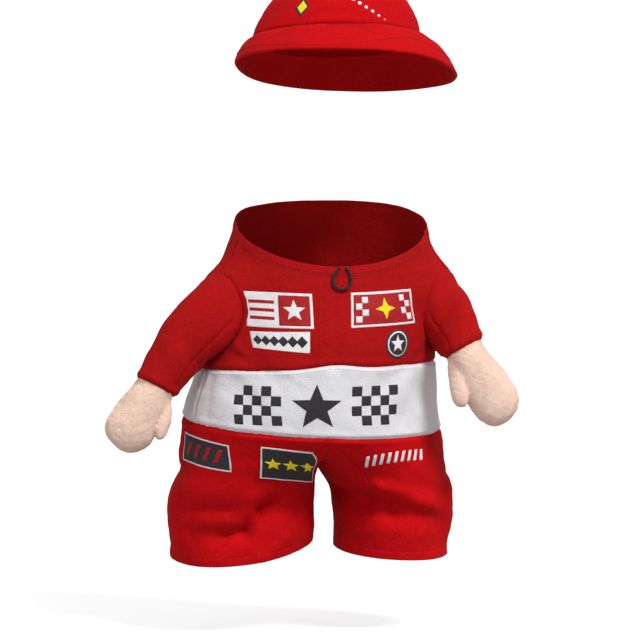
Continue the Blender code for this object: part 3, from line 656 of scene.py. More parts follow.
def quads(rows, cols, closed=False, flip=False):
    """Faces of a grid of rows by columns, whose last column meets its first where it is closed."""
    i, j = np.meshgrid(np.arange(rows - 1), np.arange(cols if closed else cols - 1), indexing="ij")
    i, j = i.ravel(), j.ravel()
    k = (j + 1) % cols
    faces = np.stack([i * cols + j, i * cols + k, (i + 1) * cols + k, (i + 1) * cols + j], axis=1)
    return faces[:, ::-1] if flip else faces


def rim_loops(rows, cols, closed):
    """The edges of a grid as loops of (point, its neighbour one step inside), turning against its faces."""
    index = np.arange(rows * cols).reshape(rows, cols)
    if closed:
        return [(index[0], index[1]), (index[-1, ::-1], index[-2, ::-1])]
    inner = np.pad(index[1:-1, 1:-1], 1, mode="edge")
    around = [(m[0, :-1], m[:-1, -1], m[-1, :0:-1], m[:0:-1, 0]) for m in (index, inner)]
    return [tuple(np.concatenate(sides) for sides in around)]


def wall(outer, normals, thick, closed, flip):
    """A closed wall behind a grid of points: points and quads. The inner side is the outer one moved in
    by thick, and each edge is joined to it by a half circle that stands out by half of that."""
    rows, cols = outer.shape[:2]
    flat = outer.reshape(-1, 3)
    normals = normals.reshape(-1, 3)
    inner = flat - normals * thick
    points = [flat, inner]
    faces = [quads(rows, cols, closed, flip), quads(rows, cols, closed, not flip) + len(flat)]
    count = 2 * len(flat)
    for edge, inside in rim_loops(rows, cols, closed):
        outward = unit(flat[edge] - flat[inside])
        middle = (flat[edge] + inner[edge]) / 2
        previous = edge
        for turn in np.linspace(0, 180, RIM_POINTS + 2)[1:-1]:
            arc = cos(turn) * normals[edge] + sin(turn) * outward
            points.append(middle + arc * thick / 2)
            faces.append(strip(previous, count + np.arange(len(edge)), flip))
            previous = count + np.arange(len(edge))
            count += len(edge)
        faces.append(strip(previous, edge + len(flat), flip))
    return np.concatenate(points), np.concatenate(faces)


def strip(first, second, flip):
    """Quads between two closed loops of points."""
    following = np.roll(np.arange(len(first)), -1)
    faces = np.stack([first[following], first, second, second[following]], axis=1)
    return faces[:, ::-1] if flip else faces


def nearest(points, others):
    """Each point's distance to the nearest of others, and that one's number."""
    flat = points.reshape(-1, 3)
    squared = (flat**2).sum(1)[:, None] + (others**2).sum(1)[None] - 2 * flat @ others.T
    which = squared.argmin(axis=1)
    away = np.sqrt(np.maximum(squared[np.arange(len(flat)), which], 0))
    return away.reshape(points.shape[:-1]), which.reshape(points.shape[:-1])


def edge_points(grid, sides):
    """The points along the named sides of a grid, how far along its side each one lies, and the depth
    that sides gives it."""
    lines = {"bottom": grid[0], "top": grid[-1], "start": grid[:, 0], "end": grid[:, -1]}
    points = [lines[side] for side in sides]
    deep = [np.broadcast_to(depth, len(lines[side])) for side, depth in sides.items()]
    return np.concatenate(points), np.concatenate([run_along(p) for p in points]), np.concatenate(deep)


def seam_lift(away, along, deep):
    """Cloth sinks into a seam, swells beside it over the seam allowance, and puckers along it."""
    sink = -deep * bell(away, SEAM["over"])
    swell = SEAM["swell"] * bell(away - SEAM["swell_at"], SEAM["swell_over"])
    sway = PUCKER["sways"] * np.sin(along / PUCKER["sways_over"])
    wave = np.sin(2 * math.pi * along / PUCKER["every"] + sway)
    return sink + swell + PUCKER["rise"] * wave * np.exp(-away / PUCKER["fades"])


def hem_lift(away):
    """A turned hem stands out to its row of stitches, which draws a groove."""
    fall = smooth_step((away - HEM["wide"]) / HEM["falls"])
    return HEM["rise"] * (1 - fall) - HEM["groove"] * bell(away - HEM["wide"], HEM["groove_over"])


def spaced(length, pitch=PITCH, last=True):
    """Shares of a length: close together beside its start, and its end too if last, and even between."""
    edge = np.array(EDGE_ROWS) / length
    edge = edge[edge < EDGE_SHARE]
    end = 1 - edge[::-1] if last else np.array([1.0])
    steps = max(int((end[0] - edge[-1]) * length / pitch), 1)
    return np.concatenate([edge, np.linspace(edge[-1], end[0], steps + 1)[1:-1], end])


def shell(name, skin, a, b, material, seams, hem=None, closed=False, thick=THICK):
    """A cloth piece on a skin, over grids of both parameters, with its seam and hem edges shaped, and the
    width, length and area of its cut. Seams are the sides of the grid that are sewn, with their depths."""
    a, b = np.broadcast_arrays(a, b)
    grid = skin.at(a, b)
    normals = skin.normal(a, b)
    edge, along, deep = edge_points(grid, seams)
    away, which = nearest(grid, edge)
    lift = seam_lift(away, along[which], deep[which])
    if hem:
        away, _ = nearest(grid, edge_points(grid, {hem: 0.0})[0])
        lift = lift + hem_lift(away)
    outer = grid + normals * lift[..., None]
    row, col = grid.shape[0] // 2, grid.shape[1] // 2
    turned = np.cross(grid[row, col + 1] - grid[row, col], grid[row + 1, col] - grid[row, col])
    flip = float(turned @ normals[row, col]) < 0
    points, faces = wall(outer, normals, thick, closed, flip)
    across = np.zeros(a.shape)
    across[:, 1:] = np.cumsum(np.linalg.norm(np.diff(grid, axis=1), axis=-1), axis=1)
    up = np.zeros(a.shape)
    up[1:] = np.cumsum(np.linalg.norm(np.diff(grid, axis=0), axis=-1), axis=0)
    uv = np.stack([across, up], axis=-1).reshape(-1, 2)
    rims = [edge for edge, _ in rim_loops(*a.shape, closed) for _ in range(RIM_POINTS)]
    uv = np.concatenate([uv, uv, uv[np.concatenate(rims)]])[faces]
    wide = float(across[:, -1].max() + np.linalg.norm(grid[0, 0] - grid[0, -1]) * closed)
    if closed:
        behind = uv[..., 0].max(axis=1, keepdims=True) - uv[..., 0] > wide / 2
        uv[..., 0] += behind * wide
    piece = new_piece(name, material, points, faces, uv=uv)
    corners = grid.reshape(-1, 3)[quads(*a.shape, closed)]
    area = np.linalg.norm(np.cross(corners[:, 2] - corners[:, 0], corners[:, 3] - corners[:, 1]), axis=1)
    return piece, (wide, float(up[-1].max()), float(area.sum() / 2))


# Stitches
STITCH = {
    "long": 2.3, "gap": 0.8, "radius": 0.27, "sides": 6, "lift": 0.18, "band_lift": 0.32,
    "from_seam": 2.4,
}
STITCH_PROFILE = ((0.0, 0.0), (0.12, 0.72), (0.35, 1.0), (0.65, 1.0), (0.88, 0.72), (1.0, 0.0))


def between(along, run, values):
    """Vectors read from a line at places along it."""
    return np.stack([np.interp(along, run, values[:, i]) for i in range(3)], axis=-1)


def stitch_row(skin, a, b, lift):
    """Stitches along a line of places: small spindles of even length, lying on the cloth end to end."""
    line = skin.at(a, b, lift)
    run = run_along(line)
    count = int(run[-1] / (STITCH["long"] + STITCH["gap"]))
    pitch = run[-1] / count
    share, size = np.array(STITCH_PROFILE).T
    along = np.arange(count)[:, None] * pitch + share[None] * (pitch - STITCH["gap"])
    centre = between(along, run, line)
    out = unit(between(along, run, skin.normal(a, b)))
    side = np.cross(unit(centre[:, -1:] - centre[:, :1]), out)
    ring = circle(full_turn(STITCH["sides"]), out[:, 1:-1, None], side[:, 1:-1, None])
    rings = centre[:, 1:-1, None] + ring * (STITCH["radius"] * size[1:-1])[None, :, None, None]
    return spindles(rings, centre[:, 0], centre[:, -1])


def spindles(rings, first, last):
    """Points, quads and triangles of closed spindles, from their rings and the points at their ends."""
    count, rows, cols = rings.shape[:3]
    points = np.concatenate([rings.reshape(count, -1, 3), first[:, None], last[:, None]], axis=1)
    each = rows * cols + 2
    start = np.arange(count)[:, None, None] * each
    body = quads(rows, cols, closed=True, flip=True)[None] + start
    ring = np.arange(cols)
    following = (ring + 1) % cols
    head = np.stack([ring, following, np.full(cols, each - 2)], axis=1)
    foot = np.stack([following, ring, np.full(cols, each - 1)], axis=1)
    foot[:, :2] += (rows - 1) * cols
    ends = np.concatenate([head, foot])[None] + start
    return points.reshape(-1, 3), body.reshape(-1, 4), ends.reshape(-1, 3)


def joined(parts):
    """Several sets of points, quads and triangles as one."""
    points, fours, threes = zip(*parts)
    starts = np.cumsum([0] + [len(p) for p in points])
    faces = [np.concatenate([f + start for f, start in zip(kind, starts)]) for kind in (fours, threes)]
    return np.concatenate(points), *faces


def share_from_end(skin, a, distance):
    """The second parameter at which a line of a skin that runs from 0 to 1 is distance mm from its end."""
    b = np.linspace(0, 1, 25)[:, None]
    line = skin.form(np.broadcast_to(a, (25, len(a))), np.broadcast_to(b, (25, len(a))))
    gaps = np.linalg.norm(np.diff(line, axis=0), axis=-1)
    left = np.concatenate([np.cumsum(gaps[::-1], axis=0)[::-1], np.zeros((1, len(a)))])
    return np.array([np.interp(-distance, -left[:, i], b[:, 0]) for i in range(len(a))])


def trunk_stitches(edge, lift):
    """A row round the trunk, at the heights that edge gives for its angles."""
    turn = np.linspace(-180, 180, 400)
    return stitch_row(TRUNK_SKIN, turn, edge(turn), lift)


def red_stitches():
    turn = np.linspace(-180, 180, 500)
    near = share_from_end(BRIM_SKIN, turn, HEM["wide"])
    stray = column(BRIM_STITCH, ("angle", "stray"), "stray", turn)
    arc = np.linspace(BRIM_ARC[0][0], BRIM_ARC[-1][0], 120)
    return [
        trunk_stitches(lambda angle: neck_edge(angle) - HEM["wide"], STITCH["lift"]),
        stitch_row(BRIM_SKIN, turn, stray * near, STITCH["lift"]),
        stitch_row(BRIM_SKIN, arc, brim_arc(arc) + BRIM_ARC_SEAM["stitch"], STITCH["lift"]),
    ]


def white_stitches():
    inside = STITCH["from_seam"]
    return [
        trunk_stitches(lambda angle: band_top(angle) - inside, STITCH["band_lift"]),
        trunk_stitches(lambda angle: band_foot(angle) + inside, STITCH["band_lift"]),
    ]


# Prints
INK_PITCH = 1.2
INK_LIFT = 0.13
INK_STEP = 0.07
INK_UNDER = -0.15


class Patch:
    """A four-cornered place on a skin. Flat places on it are in mm from its lower left corner."""

    def __init__(self, skin, top_left, top_right, low_right, low_left, raised=0.0):
        self.skin = skin
        self.raised = raised
        self.corners = np.array([top_left, top_right, low_right, low_left], float)
        top, right, low, left = (self.corners + np.roll(self.corners, -1, axis=0)) / 2
        ends = skin.at(*np.array([top, right, low, left]).T)
        self.wide = float(np.linalg.norm(ends[1] - ends[3]))
        self.tall = float(np.linalg.norm(ends[0] - ends[2]))

    def places(self, flat):
        """Flat places as places on the skin, blended from the four corners."""
        s = flat[..., :1] / self.wide
        t = flat[..., 1:] / self.tall
        top = self.corners[0] * (1 - s) + self.corners[1] * s
        low = self.corners[3] * (1 - s) + self.corners[2] * s
        return low * (1 - t) + top * t


def outline(corners):
    """The sides of a polygon as points INK_PITCH apart or closer, its corners kept."""
    corners = np.asarray(corners, float)
    sides = np.roll(corners, -1, axis=0) - corners
    parts = []
    for corner, side in zip(corners, sides):
        steps = max(int(np.ceil(np.linalg.norm(side) / INK_PITCH)), 1)
        parts.append(corner + side * np.linspace(0, 1, steps, endpoint=False)[:, None])
    return np.concatenate(parts)


def block(x, y, wide, tall, slant=0.0):
    """A rectangle from its lower left corner, its top moved across by slant."""
    return outline([(x, y), (x + wide, y), (x + wide + slant, y + tall), (x + slant, y + tall)])


def star(x, y, radius, points=5, waist=0.42, turn=90.0):
    """A star about a middle: its points and the places between them lie on two circles."""
    angle = turn + np.arange(2 * points) * 180 / points
    reach = np.where(np.arange(2 * points) % 2 == 0, radius, radius * waist)
    return outline(np.stack([x + reach * cos(angle), y + reach * sin(angle)], axis=1))


def disc(x, y, radius):
    angle = full_turn(max(int(6.3 * radius / INK_PITCH), 10))
    return np.stack([x + radius * cos(angle), y + radius * sin(angle)], axis=1)


def field(patch, edge=0.0):
    """A block over the whole patch but for an edge."""
    return block(edge, edge, patch.wide - 2 * edge, patch.tall - 2 * edge)


def on(patch, level, *shapes):
    return [(patch, shape, level) for shape in shapes]


def ink(patch, shape, level=0):
    """A thin printed shape: rings shrink from its outline to its middle, above and below the ink."""
    middle = shape.mean(axis=0)
    reach = np.linalg.norm(shape - middle, axis=1).max()
    rings = max(int(reach / INK_PITCH), 2)
    shares = np.linspace(1, 0, rings + 1)[:-1, None, None]
    flat = np.concatenate([(middle + shares * (shape - middle)).reshape(-1, 2), middle[None]])
    a, b = patch.places(flat).T
    top = patch.skin.at(a, b, INK_LIFT + patch.raised + level * INK_STEP)
    under = patch.skin.at(a, b, INK_UNDER)
    cols, count = len(shape), len(flat)
    ring = np.arange(cols)
    over = quads(rings, cols, closed=True)
    fan = np.stack([ring, (ring + 1) % cols, np.full(cols, cols)], axis=1) + (rings - 1) * cols
    return (
        np.concatenate([top, under]),
        np.concatenate([over, over[:, ::-1] + count, strip(ring, ring + count, False)]),
        np.concatenate([fan, fan[:, ::-1] + count]),
    )


def chequers(x, y, size, cols, rows, odd=0):
    """Every other square of a chequered field."""
    cells = [(i, j) for i in range(cols) for j in range(rows) if (i + j) % 2 == odd]
    return [block(x + i * size, y + j * size, size, size) for i, j in cells]


def chest_right_print():
    """The wearer's right chest: a white field with three red bars, and a red block with a white star."""
    patch = Patch(TRUNK_SKIN, (-54.1, -26.5), (-15.2, -27.3), (-12.7, -50.0), (-49.9, -49.2))
    wide, tall = patch.wide, patch.tall
    side = tall - 3.4
    left = wide - side - 1.7
    bars = [block(3.0, tall * share, left - 6.0, 2.2) for share in (0.22, 0.45, 0.68)]
    return {
        "white": on(patch, 0, field(patch)) + on(patch, 2, star(left + side / 2, tall / 2, 7.6)),
        "red": on(patch, 1, block(left, 1.7, side, side), *bars),
    }


def label_print():
    """Under it: a white strip with a row of charcoal diamonds."""
    patch = Patch(TRUNK_SKIN, (-47.8, -52.3), (-14.6, -51.9), (-13.4, -65.6), (-44.7, -62.6))
    spots = np.linspace(5.0, patch.wide - 5.0, 6)
    diamonds = [star(x, patch.tall / 2, 3.6, points=4, waist=0.71) for x in spots]
    return {
        "white": on(patch, 0, field(patch)),
        "charcoal": on(patch, 1, *diamonds),
    }


def chest_left_print():
    """The wearer's left chest: white-edged red, with a yellow star between two chequered ends."""
    patch = Patch(TRUNK_SKIN, (4.9, -26.9), (41.6, -26.1), (45.6, -48.6), (5.9, -49.5))
    wide, tall = patch.wide, patch.tall
    edge = 1.6
    cell = (tall - 2 * edge - 3.0) / 4
    low = edge + 1.5
    squares = chequers(edge + 1.5, low, cell, 2, 4)
    squares += chequers(wide - edge - 1.5 - 2 * cell, low, cell, 2, 4, odd=1)
    return {
        "white": on(patch, 0, field(patch)) + on(patch, 2, *squares),
        "red": on(patch, 1, field(patch, edge)),
        "yellow": on(patch, 2, star(wide / 2, tall / 2, 7.4, points=4, waist=0.38)),
    }


def badge_print():
    """A round charcoal badge with a white ring about a white star."""
    patch = Patch(TRUNK_SKIN, (23.4, -51.4), (42.6, -51.4), (43.8, -70.9), (24.2, -70.9))
    x, y = patch.wide / 2, patch.tall / 2
    return {
        "charcoal": on(patch, 0, disc(x, y, 9.7)) + on(patch, 2, disc(x, y, 7.3)),
        "white": on(patch, 1, disc(x, y, 8.3)) + on(patch, 3, star(x, y, 6.0)),
    }


def band_print():
    """Across the front of the waistband: a large star between chequered fields."""
    patch = Patch(TRUNK_SKIN, (-50.3, -83.9), (35.7, -84.6), (35.0, -116.9), (-43.9, -115.8))
    wide, tall = patch.wide, patch.tall
    cell = 6.4
    low = (tall - 4 * cell) / 2
    squares = chequers(1.0, low, cell, 5, 4)
    squares += chequers(wide - 1.0 - 5 * cell, low, cell, 5, 4, odd=1)
    return {"charcoal": on(patch, 0, *squares, star(wide / 2, tall / 2 - 0.8, 15.5))}


def thigh_prints():
    """On the trousers: two dark patches with white edges, and an arched row of white strokes."""
    first = Patch(LEG_SKINS[-1], (0.290, 0.080), (0.160, 0.108), (0.138, 0.298), (0.286, 0.279))
    second = Patch(
        RIGHT_LEG_BY_HEIGHT, (0.100, -127.2), (0.008, -130.7), (-0.076, -153.2), (0.076, -148.2), 0.8
    )
    third = Patch(LEG_SKINS[1], (0.034, 0.116), (0.174, 0.076), (0.165, 0.197), (0.008, 0.254))
    edge = 0.9
    shapes = {"white": [], "charcoal": []}
    for patch in (first, second):
        wide, tall = patch.wide, patch.tall
        shapes["white"] += on(patch, 0, *(block(0, y, wide, edge) for y in (0, tall - edge)))
        upright = [block(x, edge, edge, tall - 2 * edge) for x in (0, wide - edge)]
        shapes["white"] += on(patch, 0, *upright)
        shapes["charcoal"] += on(patch, 0, field(patch, edge))
    bars = np.linspace(4.5, first.wide - 12.5, 4)
    shapes["red"] = on(first, 2, *(block(x, 4.5, 3.2, first.tall - 9.0, 4.5) for x in bars))
    spots = np.linspace(0.2, 0.8, 3) * second.wide
    shapes["yellow"] = on(second, 4, *(star(x, second.tall / 2, 5.3) for x in spots))
    for share in np.linspace(0.04, 0.90, 9):
        up = 0.4 + 2.0 * np.sin(np.pi * share)
        shapes["white"] += on(third, 0, block(third.wide * share, up, 2.2, third.tall - 3.4, 2.0))
    return shapes


def cap_print():
    """On the crown: a yellow diamond on charcoal, and a slanting row of white dots."""
    diamond = Patch(CROWN_SKIN, (-33.0, 21.0), (-19.0, 21.0), (-17.0, 5.5), (-31.0, 5.5))
    row = Patch(CROWN_SKIN, (12.0, 20.0), (40.0, 20.0), (40.0, 2.0), (12.0, 2.0))
    centre = np.array([[diamond.wide / 2, diamond.tall / 2]])
    outer, inner = (
        star(0, 0, radius, points=4, waist=0.71) * np.array([[1.0, 1.45]]) + centre
        for radius in (5.4, 3.7)
    )
    dots = [
        disc(1.5 + (row.wide - 4.0) * t, row.tall - 2.5 - (row.tall - 5.0) * t, 1.5 - 0.6 * t)
        for t in np.linspace(0.0, 1.0, 6)
    ]
    return {"charcoal": on(diamond, 0, outer), "yellow": on(diamond, 1, inner), "white": on(row, 0, *dots)}


# Materials
def node_maker(tree):
    """make(kind, settings, socket=value or another node's output) adds one node to the tree. A socket is
    given by its name, or by its number after an i."""

    def make(kind, settings=None, **sockets):
        node = tree.nodes.new(kind)
        for key, value in (settings or {}).items():
            setattr(node, key, value)
        for key, value in sockets.items():
            fill(node, int(key[1:]) if key[1:].isdigit() else key, value)
        return node

    return make


def fill(node, key, value):
    """Sets one input of a node, or links it to another node's output."""
    socket = node.inputs[key if isinstance(key, int) else key.replace("_", " ")]
    if isinstance(value, bpy.types.NodeSocket):
        node.id_data.links.new(value, socket)
    else:
        socket.default_value = value


def noise(make, vector, scale, detail=2.0, roughness=0.5):
    sockets = {"Vector": vector, "Scale": scale, "Detail": detail, "Roughness": roughness}
    return make("ShaderNodeTexNoise", **sockets).outputs[0]


def mapped(make, value, low, high, new_low=0.0, new_high=1.0):
    ends = {"i1": low, "i2": high, "i3": new_low, "i4": new_high}
    return make("ShaderNodeMapRange", {"interpolation_type": "SMOOTHSTEP"}, i0=value, **ends).outputs[0]


def times(make, first, second):
    return make("ShaderNodeMath", {"operation": "MULTIPLY"}, i0=first, i1=second).outputs[0]


def times_and(make, first, second, added):
    """The product of two values, with a third one added."""
    settings = {"operation": "MULTIPLY_ADD"}
    return make("ShaderNodeMath", settings, i0=first, i1=second, i2=added).outputs[0]


def wave(make, value, length):
    """A sine wave of that length in metres along a value."""
    turned = times(make, value, 2 * math.pi / length)
    return make("ShaderNodeMath", {"operation": "SINE"}, i0=turned).outputs[0]


def mixed(make, factor, first, second):
    """A colour between two, each of them a node's output or red, green and blue."""
    first, second = (c if isinstance(c, bpy.types.NodeSocket) else (*c, 1) for c in (first, second))
    return make("ShaderNodeMix", {"data_type": "RGBA"}, i0=factor, i6=first, i7=second).outputs[2]


def object_place(make):
    return make("ShaderNodeTexCoord").outputs["Object"]


def cloth_group(name, build):
    """A shader node group that puts out a cloth's tone, height and patches, as build makes them."""
    tree = bpy.data.node_groups.new(name, "ShaderNodeTree")
    for label in ("Tone", "Height", "Patch"):
        tree.interface.new_socket(label, in_out="OUTPUT", socket_type="NodeSocketFloat")
    values = build(node_maker(tree))
    out = tree.nodes.new("NodeGroupOutput")
    for value, socket in zip(values, out.inputs):
        tree.links.new(value, socket)
    return tree


def knit(make):
    """Napped knit: fine wales along the cloth's length from its UV, broken up by short fibres, and soft
    patches where the nap lies another way."""
    place = object_place(make)
    cloth = make("ShaderNodeUVMap", {"uv_map": "cloth"}).outputs[0]
    parts = make("ShaderNodeSeparateXYZ", Vector=cloth).outputs
    across = times_and(make, noise(make, place, 90.0), 0.0006, parts[0])
    rows = times_and(make, wave(make, parts[1], COURSE_WIDTH), 0.35, wave(make, across, WALE_WIDTH))
    fibre = mapped(make, noise(make, place, 1500.0, 3.0, 0.6), 0.3, 0.7)
    tuft = mapped(make, noise(make, place, 560.0, 3.0, 0.6), 0.3, 0.7)
    rise = times_and(make, rows, 0.12, times(make, tuft, 0.35))
    tone = times_and(make, rows, 0.08, times(make, tuft, 0.35))
    patch = mapped(make, noise(make, place, 38.0, 3.0, 0.55), 0.35, 0.68)
    return times_and(make, fibre, 0.5, tone), times_and(make, fibre, 0.35, rise), patch


def fleece(make):
    """Brushed fleece: short soft curls of two sizes and paler worn patches."""
    place = object_place(make)
    curl = mapped(make, noise(make, place, 480.0, 4.0, 0.6), 0.3, 0.7)
    fibre = mapped(make, noise(make, place, 1400.0, 3.0, 0.6), 0.3, 0.7)
    tone = times_and(make, fibre, 0.5, times(make, curl, 0.4))
    rise = times_and(make, curl, 0.5, times(make, fibre, 0.4))
    return tone, rise, mapped(make, noise(make, place, 60.0), 0.35, 0.68)


def material_with(name, look, **values):
    """A material whose Principled shader has what look makes, and the given values."""
    material = bpy.data.materials.new(name)
    material.use_nodes = True
    made = look(node_maker(material.node_tree))
    for key, value in {**made, **values}.items():
        fill(material.node_tree.nodes["Principled BSDF"], key, value)
    return material


def surface(make, colour, height, strength, distance):
    """Shader inputs for a colour, and for a relief whose depth is in metres."""
    relief = make("ShaderNodeBump", Height=height, Strength=strength, Distance=distance).outputs[0]
    return {"Base Color": colour, "Normal": relief}


def cloth_material(name, group, deep, plain, worn, bump, sheen, sheen_tint):
    """Cloth whose colour goes from deep between the fibres to plain on them, and to worn on soft patches."""

    def look(make):
        weave = make("ShaderNodeGroup", {"node_tree": group}).outputs
        colour = mixed(make, mapped(make, weave["Tone"], 0.0, 0.9), deep, plain)
        colour = mixed(make, times(make, weave["Patch"], 0.5), colour, worn)
        return surface(make, colour, weave["Height"], bump, 0.0005)

    values = {"Roughness": 0.85, "Specular_IOR_Level": 0.07, "Sheen_Weight": sheen}
    return material_with(name, look, Sheen_Roughness=0.45, Sheen_Tint=(*sheen_tint, 1), **values)


def thread_material(name, deep, plain):
    """Twisted thread: a fine diagonal twist in its colour and relief."""

    def look(make):
        place = object_place(make)
        settings = {"bands_direction": "DIAGONAL"}
        twist = make("ShaderNodeTexWave", settings, Vector=place, Scale=900.0, Distortion=2.0).outputs[1]
        both = times_and(make, noise(make, place, 1800.0), 0.6, times(make, twist, 0.4))
        return surface(make, mixed(make, both, deep, plain), both, 0.5, 0.0003)

    return material_with(name, look, Roughness=0.6, Specular_IOR_Level=0.3, Sheen_Weight=0.05)


def ink_material(name, plain, ground):
    """Printed ink on napped cloth: matte, a little worn where the fibres stand up through it."""

    def look(make):
        place = object_place(make)
        tuft = noise(make, place, 620.0, 3.0, 0.65)
        fibre = noise(make, place, 1700.0)
        worn = mapped(make, tuft, 0.60, 0.74, 0.0, 0.55)
        shade = mixed(make, mapped(make, fibre, 0.3, 0.7), [0.78 * v for v in plain], plain)
        height = times_and(make, fibre, 0.6, tuft)
        return surface(make, mixed(make, worn, shade, ground), height, 0.45, 0.0004)

    return material_with(name, look, Roughness=0.62, Specular_IOR_Level=0.25, Sheen_Weight=0.03)


# Widths of the knit's wales and courses, in metres
WALE_WIDTH = 0.00115
COURSE_WIDTH = 0.0016
# Colours between the fibres, on them and on worn patches, then bump, sheen and its tint
KNITS = {
    "red": ((0.33, 0.004, 0.005), (0.46, 0.007, 0.008), (0.43, 0.006, 0.007), 0.6, 0.05, (1.0, 0.22, 0.20)),
    "bright_red": (
        (0.45, 0.002, 0.004), (0.60, 0.004, 0.008), (0.56, 0.003, 0.006), 0.5, 0.03, (1.0, 0.18, 0.16)
    ),
    "white": ((0.70, 0.69, 0.72), (0.80, 0.79, 0.82), (0.77, 0.76, 0.79), 0.5, 0.08, (1.0, 1.0, 1.0)),
}
FLESH = ((0.78, 0.53, 0.42), (0.92, 0.66, 0.54), (0.92, 0.69, 0.58), 0.6, 0.15, (1.0, 0.85, 0.78))
THREADS = {
    "black_cord": ((0.003, 0.003, 0.003), (0.018, 0.018, 0.02)),
    "red_thread": ((0.16, 0.002, 0.003), (0.42, 0.010, 0.014)),
    "white_thread": ((0.60, 0.59, 0.61), (0.82, 0.81, 0.83)),
}
# Each ink's own colour, and the one that shows where it is worn
INKS = {
    "white": ((0.90, 0.88, 0.89), (0.76, 0.58, 0.58)),
    "red": ((0.44, 0.008, 0.012), (0.36, 0.006, 0.009)),
    "charcoal": ((0.034, 0.030, 0.035), (0.09, 0.07, 0.075)),
    "yellow": ((0.95, 0.78, 0.010), (0.74, 0.54, 0.02)),
}


def make_materials():
    weave = cloth_group("napped_knit", knit)
    made = {name: cloth_material(f"{name}_knit", weave, *look) for name, look in KNITS.items()}
    made["flesh"] = cloth_material("flesh_fleece", cloth_group("brushed_fleece", fleece), *FLESH)
    made.update({name: thread_material(name, *look) for name, look in THREADS.items()})
    made.update({f"{name}_ink": ink_material(f"{name}_ink", *look) for name, look in INKS.items()})
    return made


# The cloth pieces
# The share of a leg's round over which the waist seam's depth fades beside the rise
RISE_FADES = 0.03
SIDE_GAP = 0.5
HALF_GAP = math.degrees(SIDE_GAP / 2 / TRUNK_MEAN_RADIUS)
CAP_HALF_GAP = math.degrees(SEAM_GAP / 2 / CROWN["half_width"])
# How many rows lie beside the armhole, and how many columns go round a sleeve
ARMHOLE_ROWS = 45
SLEEVE_COLS = 150
# Lengths in mm that the other rows and columns are spaced for
UNDER_ARMHOLE, OVER_ARMHOLE = 9.0, 24.0
TROUSER_WAIST, TROUSER_RISE, TROUSER_LENGTH = 185.0, 92.0, 84.0
TIP_WIDTH = 76.0
BRIM_SPACED = {"radius": 70.0, "reach": 28.0, "pitch": 0.9}
HALVES = {"front": True, "back": False}


def dress(made, node):
    """A cloth piece takes its CAD node's place."""
    piece, (wide, tall, area) = made
    stands_for(piece, node)


def half_round(front, seam, half_gap, shares):
    """Angles across the front or back half, from one side seam to the other."""
    return (0 if front else 180) + ((seam if front else 180 - seam) - half_gap) * shares


def shares_across(seam, radius, pitch=PITCH):
    """-1 to 1 across a half that reaches seam degrees to each side."""
    return spaced(math.radians(seam) * 2 * radius, pitch)[None, :] * 2 - 1


def trunk_shares(front):
    return shares_across(SIDE_SEAM if front else 180 - SIDE_SEAM, TRUNK_MEAN_RADIUS)


def trunk_panel(name, front, material):
    """The chest or the back: its sides are the side seams, cut away round the armholes."""
    low = ARMHOLE["height"] - ARMHOLE["half_height"]
    high = ARMHOLE["height"] + ARMHOLE["half_height"]
    under = spaced(UNDER_ARMHOLE, last=False)[:-1, None]
    beside = np.sin(np.linspace(-1, 1, ARMHOLE_ROWS) * math.pi / 2)
    over = 1 - spaced(OVER_ARMHOLE, FINE_PITCH, last=False)[::-1][1:, None]
    notch = ARMHOLE["half_angle"] * np.sqrt(np.maximum(1 - beside**2, 0))
    notch = np.concatenate([np.zeros(len(under)), notch, np.zeros(len(over))])[:, None]
    angle = half_round(front, SIDE_SEAM - notch * (1 if front else -1), HALF_GAP, trunk_shares(front))
    height = np.empty(angle.shape)
    first, last = len(under), len(notch) - len(over)
    foot = band_top(angle[:first]) + SEAM_GAP
    height[:first] = foot + (low - foot) * under
    height[first:last] = ARMHOLE["height"] + ARMHOLE["half_height"] * beside[:, None]
    height[last:] = high + (neck_edge(angle[last:]) - high) * over
    side = np.where(notch[:, 0] > 0, ARMHOLE_SINKS, SINKS)
    seams = {"bottom": SINKS, "start": side, "end": side}
    return shell(name, TRUNK_SKIN, angle, height, material, seams, "top")


def waistband(name, front, material):
    angle = half_round(front, SIDE_SEAM, HALF_GAP, trunk_shares(front))
    up = spaced(BAND_TOP["height"] - BAND_FOOT["height"])[:, None]
    height = band_foot(angle) + up * (band_top(angle) - band_foot(angle))
    return shell(name, TRUNK_SKIN, angle, height, material, ALL_SUNK)


def trouser(side, material):
    waist = WAIST_SHARE * spaced(TROUSER_WAIST)[:-1]
    rise = WAIST_SHARE + (1 - WAIST_SHARE) * spaced(TROUSER_RISE)[:-1]
    share = np.concatenate([waist, rise])
    from_rise = np.minimum(share, WAIST_SHARE - share) / RISE_FADES
    seams = {"bottom": MEETS + (SINKS - MEETS) * smooth_step(from_rise)}
    name = f"cloth_trouser_{SIDE_NAMES[side]}"
    down = spaced(TROUSER_LENGTH)[:, None]
    return shell(name, LEG_SKINS[side], share, down, material, seams, "top", closed=True)


def sleeve_piece(side, material):
    along = SLEEVE_TUCK + (1 - SLEEVE_TUCK) * spaced(SLEEVE_MEAN_LENGTH, FINE_PITCH)[:, None]
    name = f"cloth_sleeve_{SIDE_NAMES[side]}"
    seams = {"bottom": MEETS, "top": SINKS}
    return shell(name, SLEEVE_SKINS[side], full_turn(SLEEVE_COLS), along, material, seams, closed=True)


def crown_half(name, front, material):
    shares = shares_across(CROWN["side_seam"], CROWN["half_width"])
    angle = half_round(front, CROWN["side_seam"], CAP_HALF_GAP, shares)
    height = SEAM_GAP + (CROWN_TOP - SEAM_GAP) * spaced(CROWN_TOP)[:, None]
    return shell(name, CROWN_SKIN, angle, height, material, ALL_SUNK)


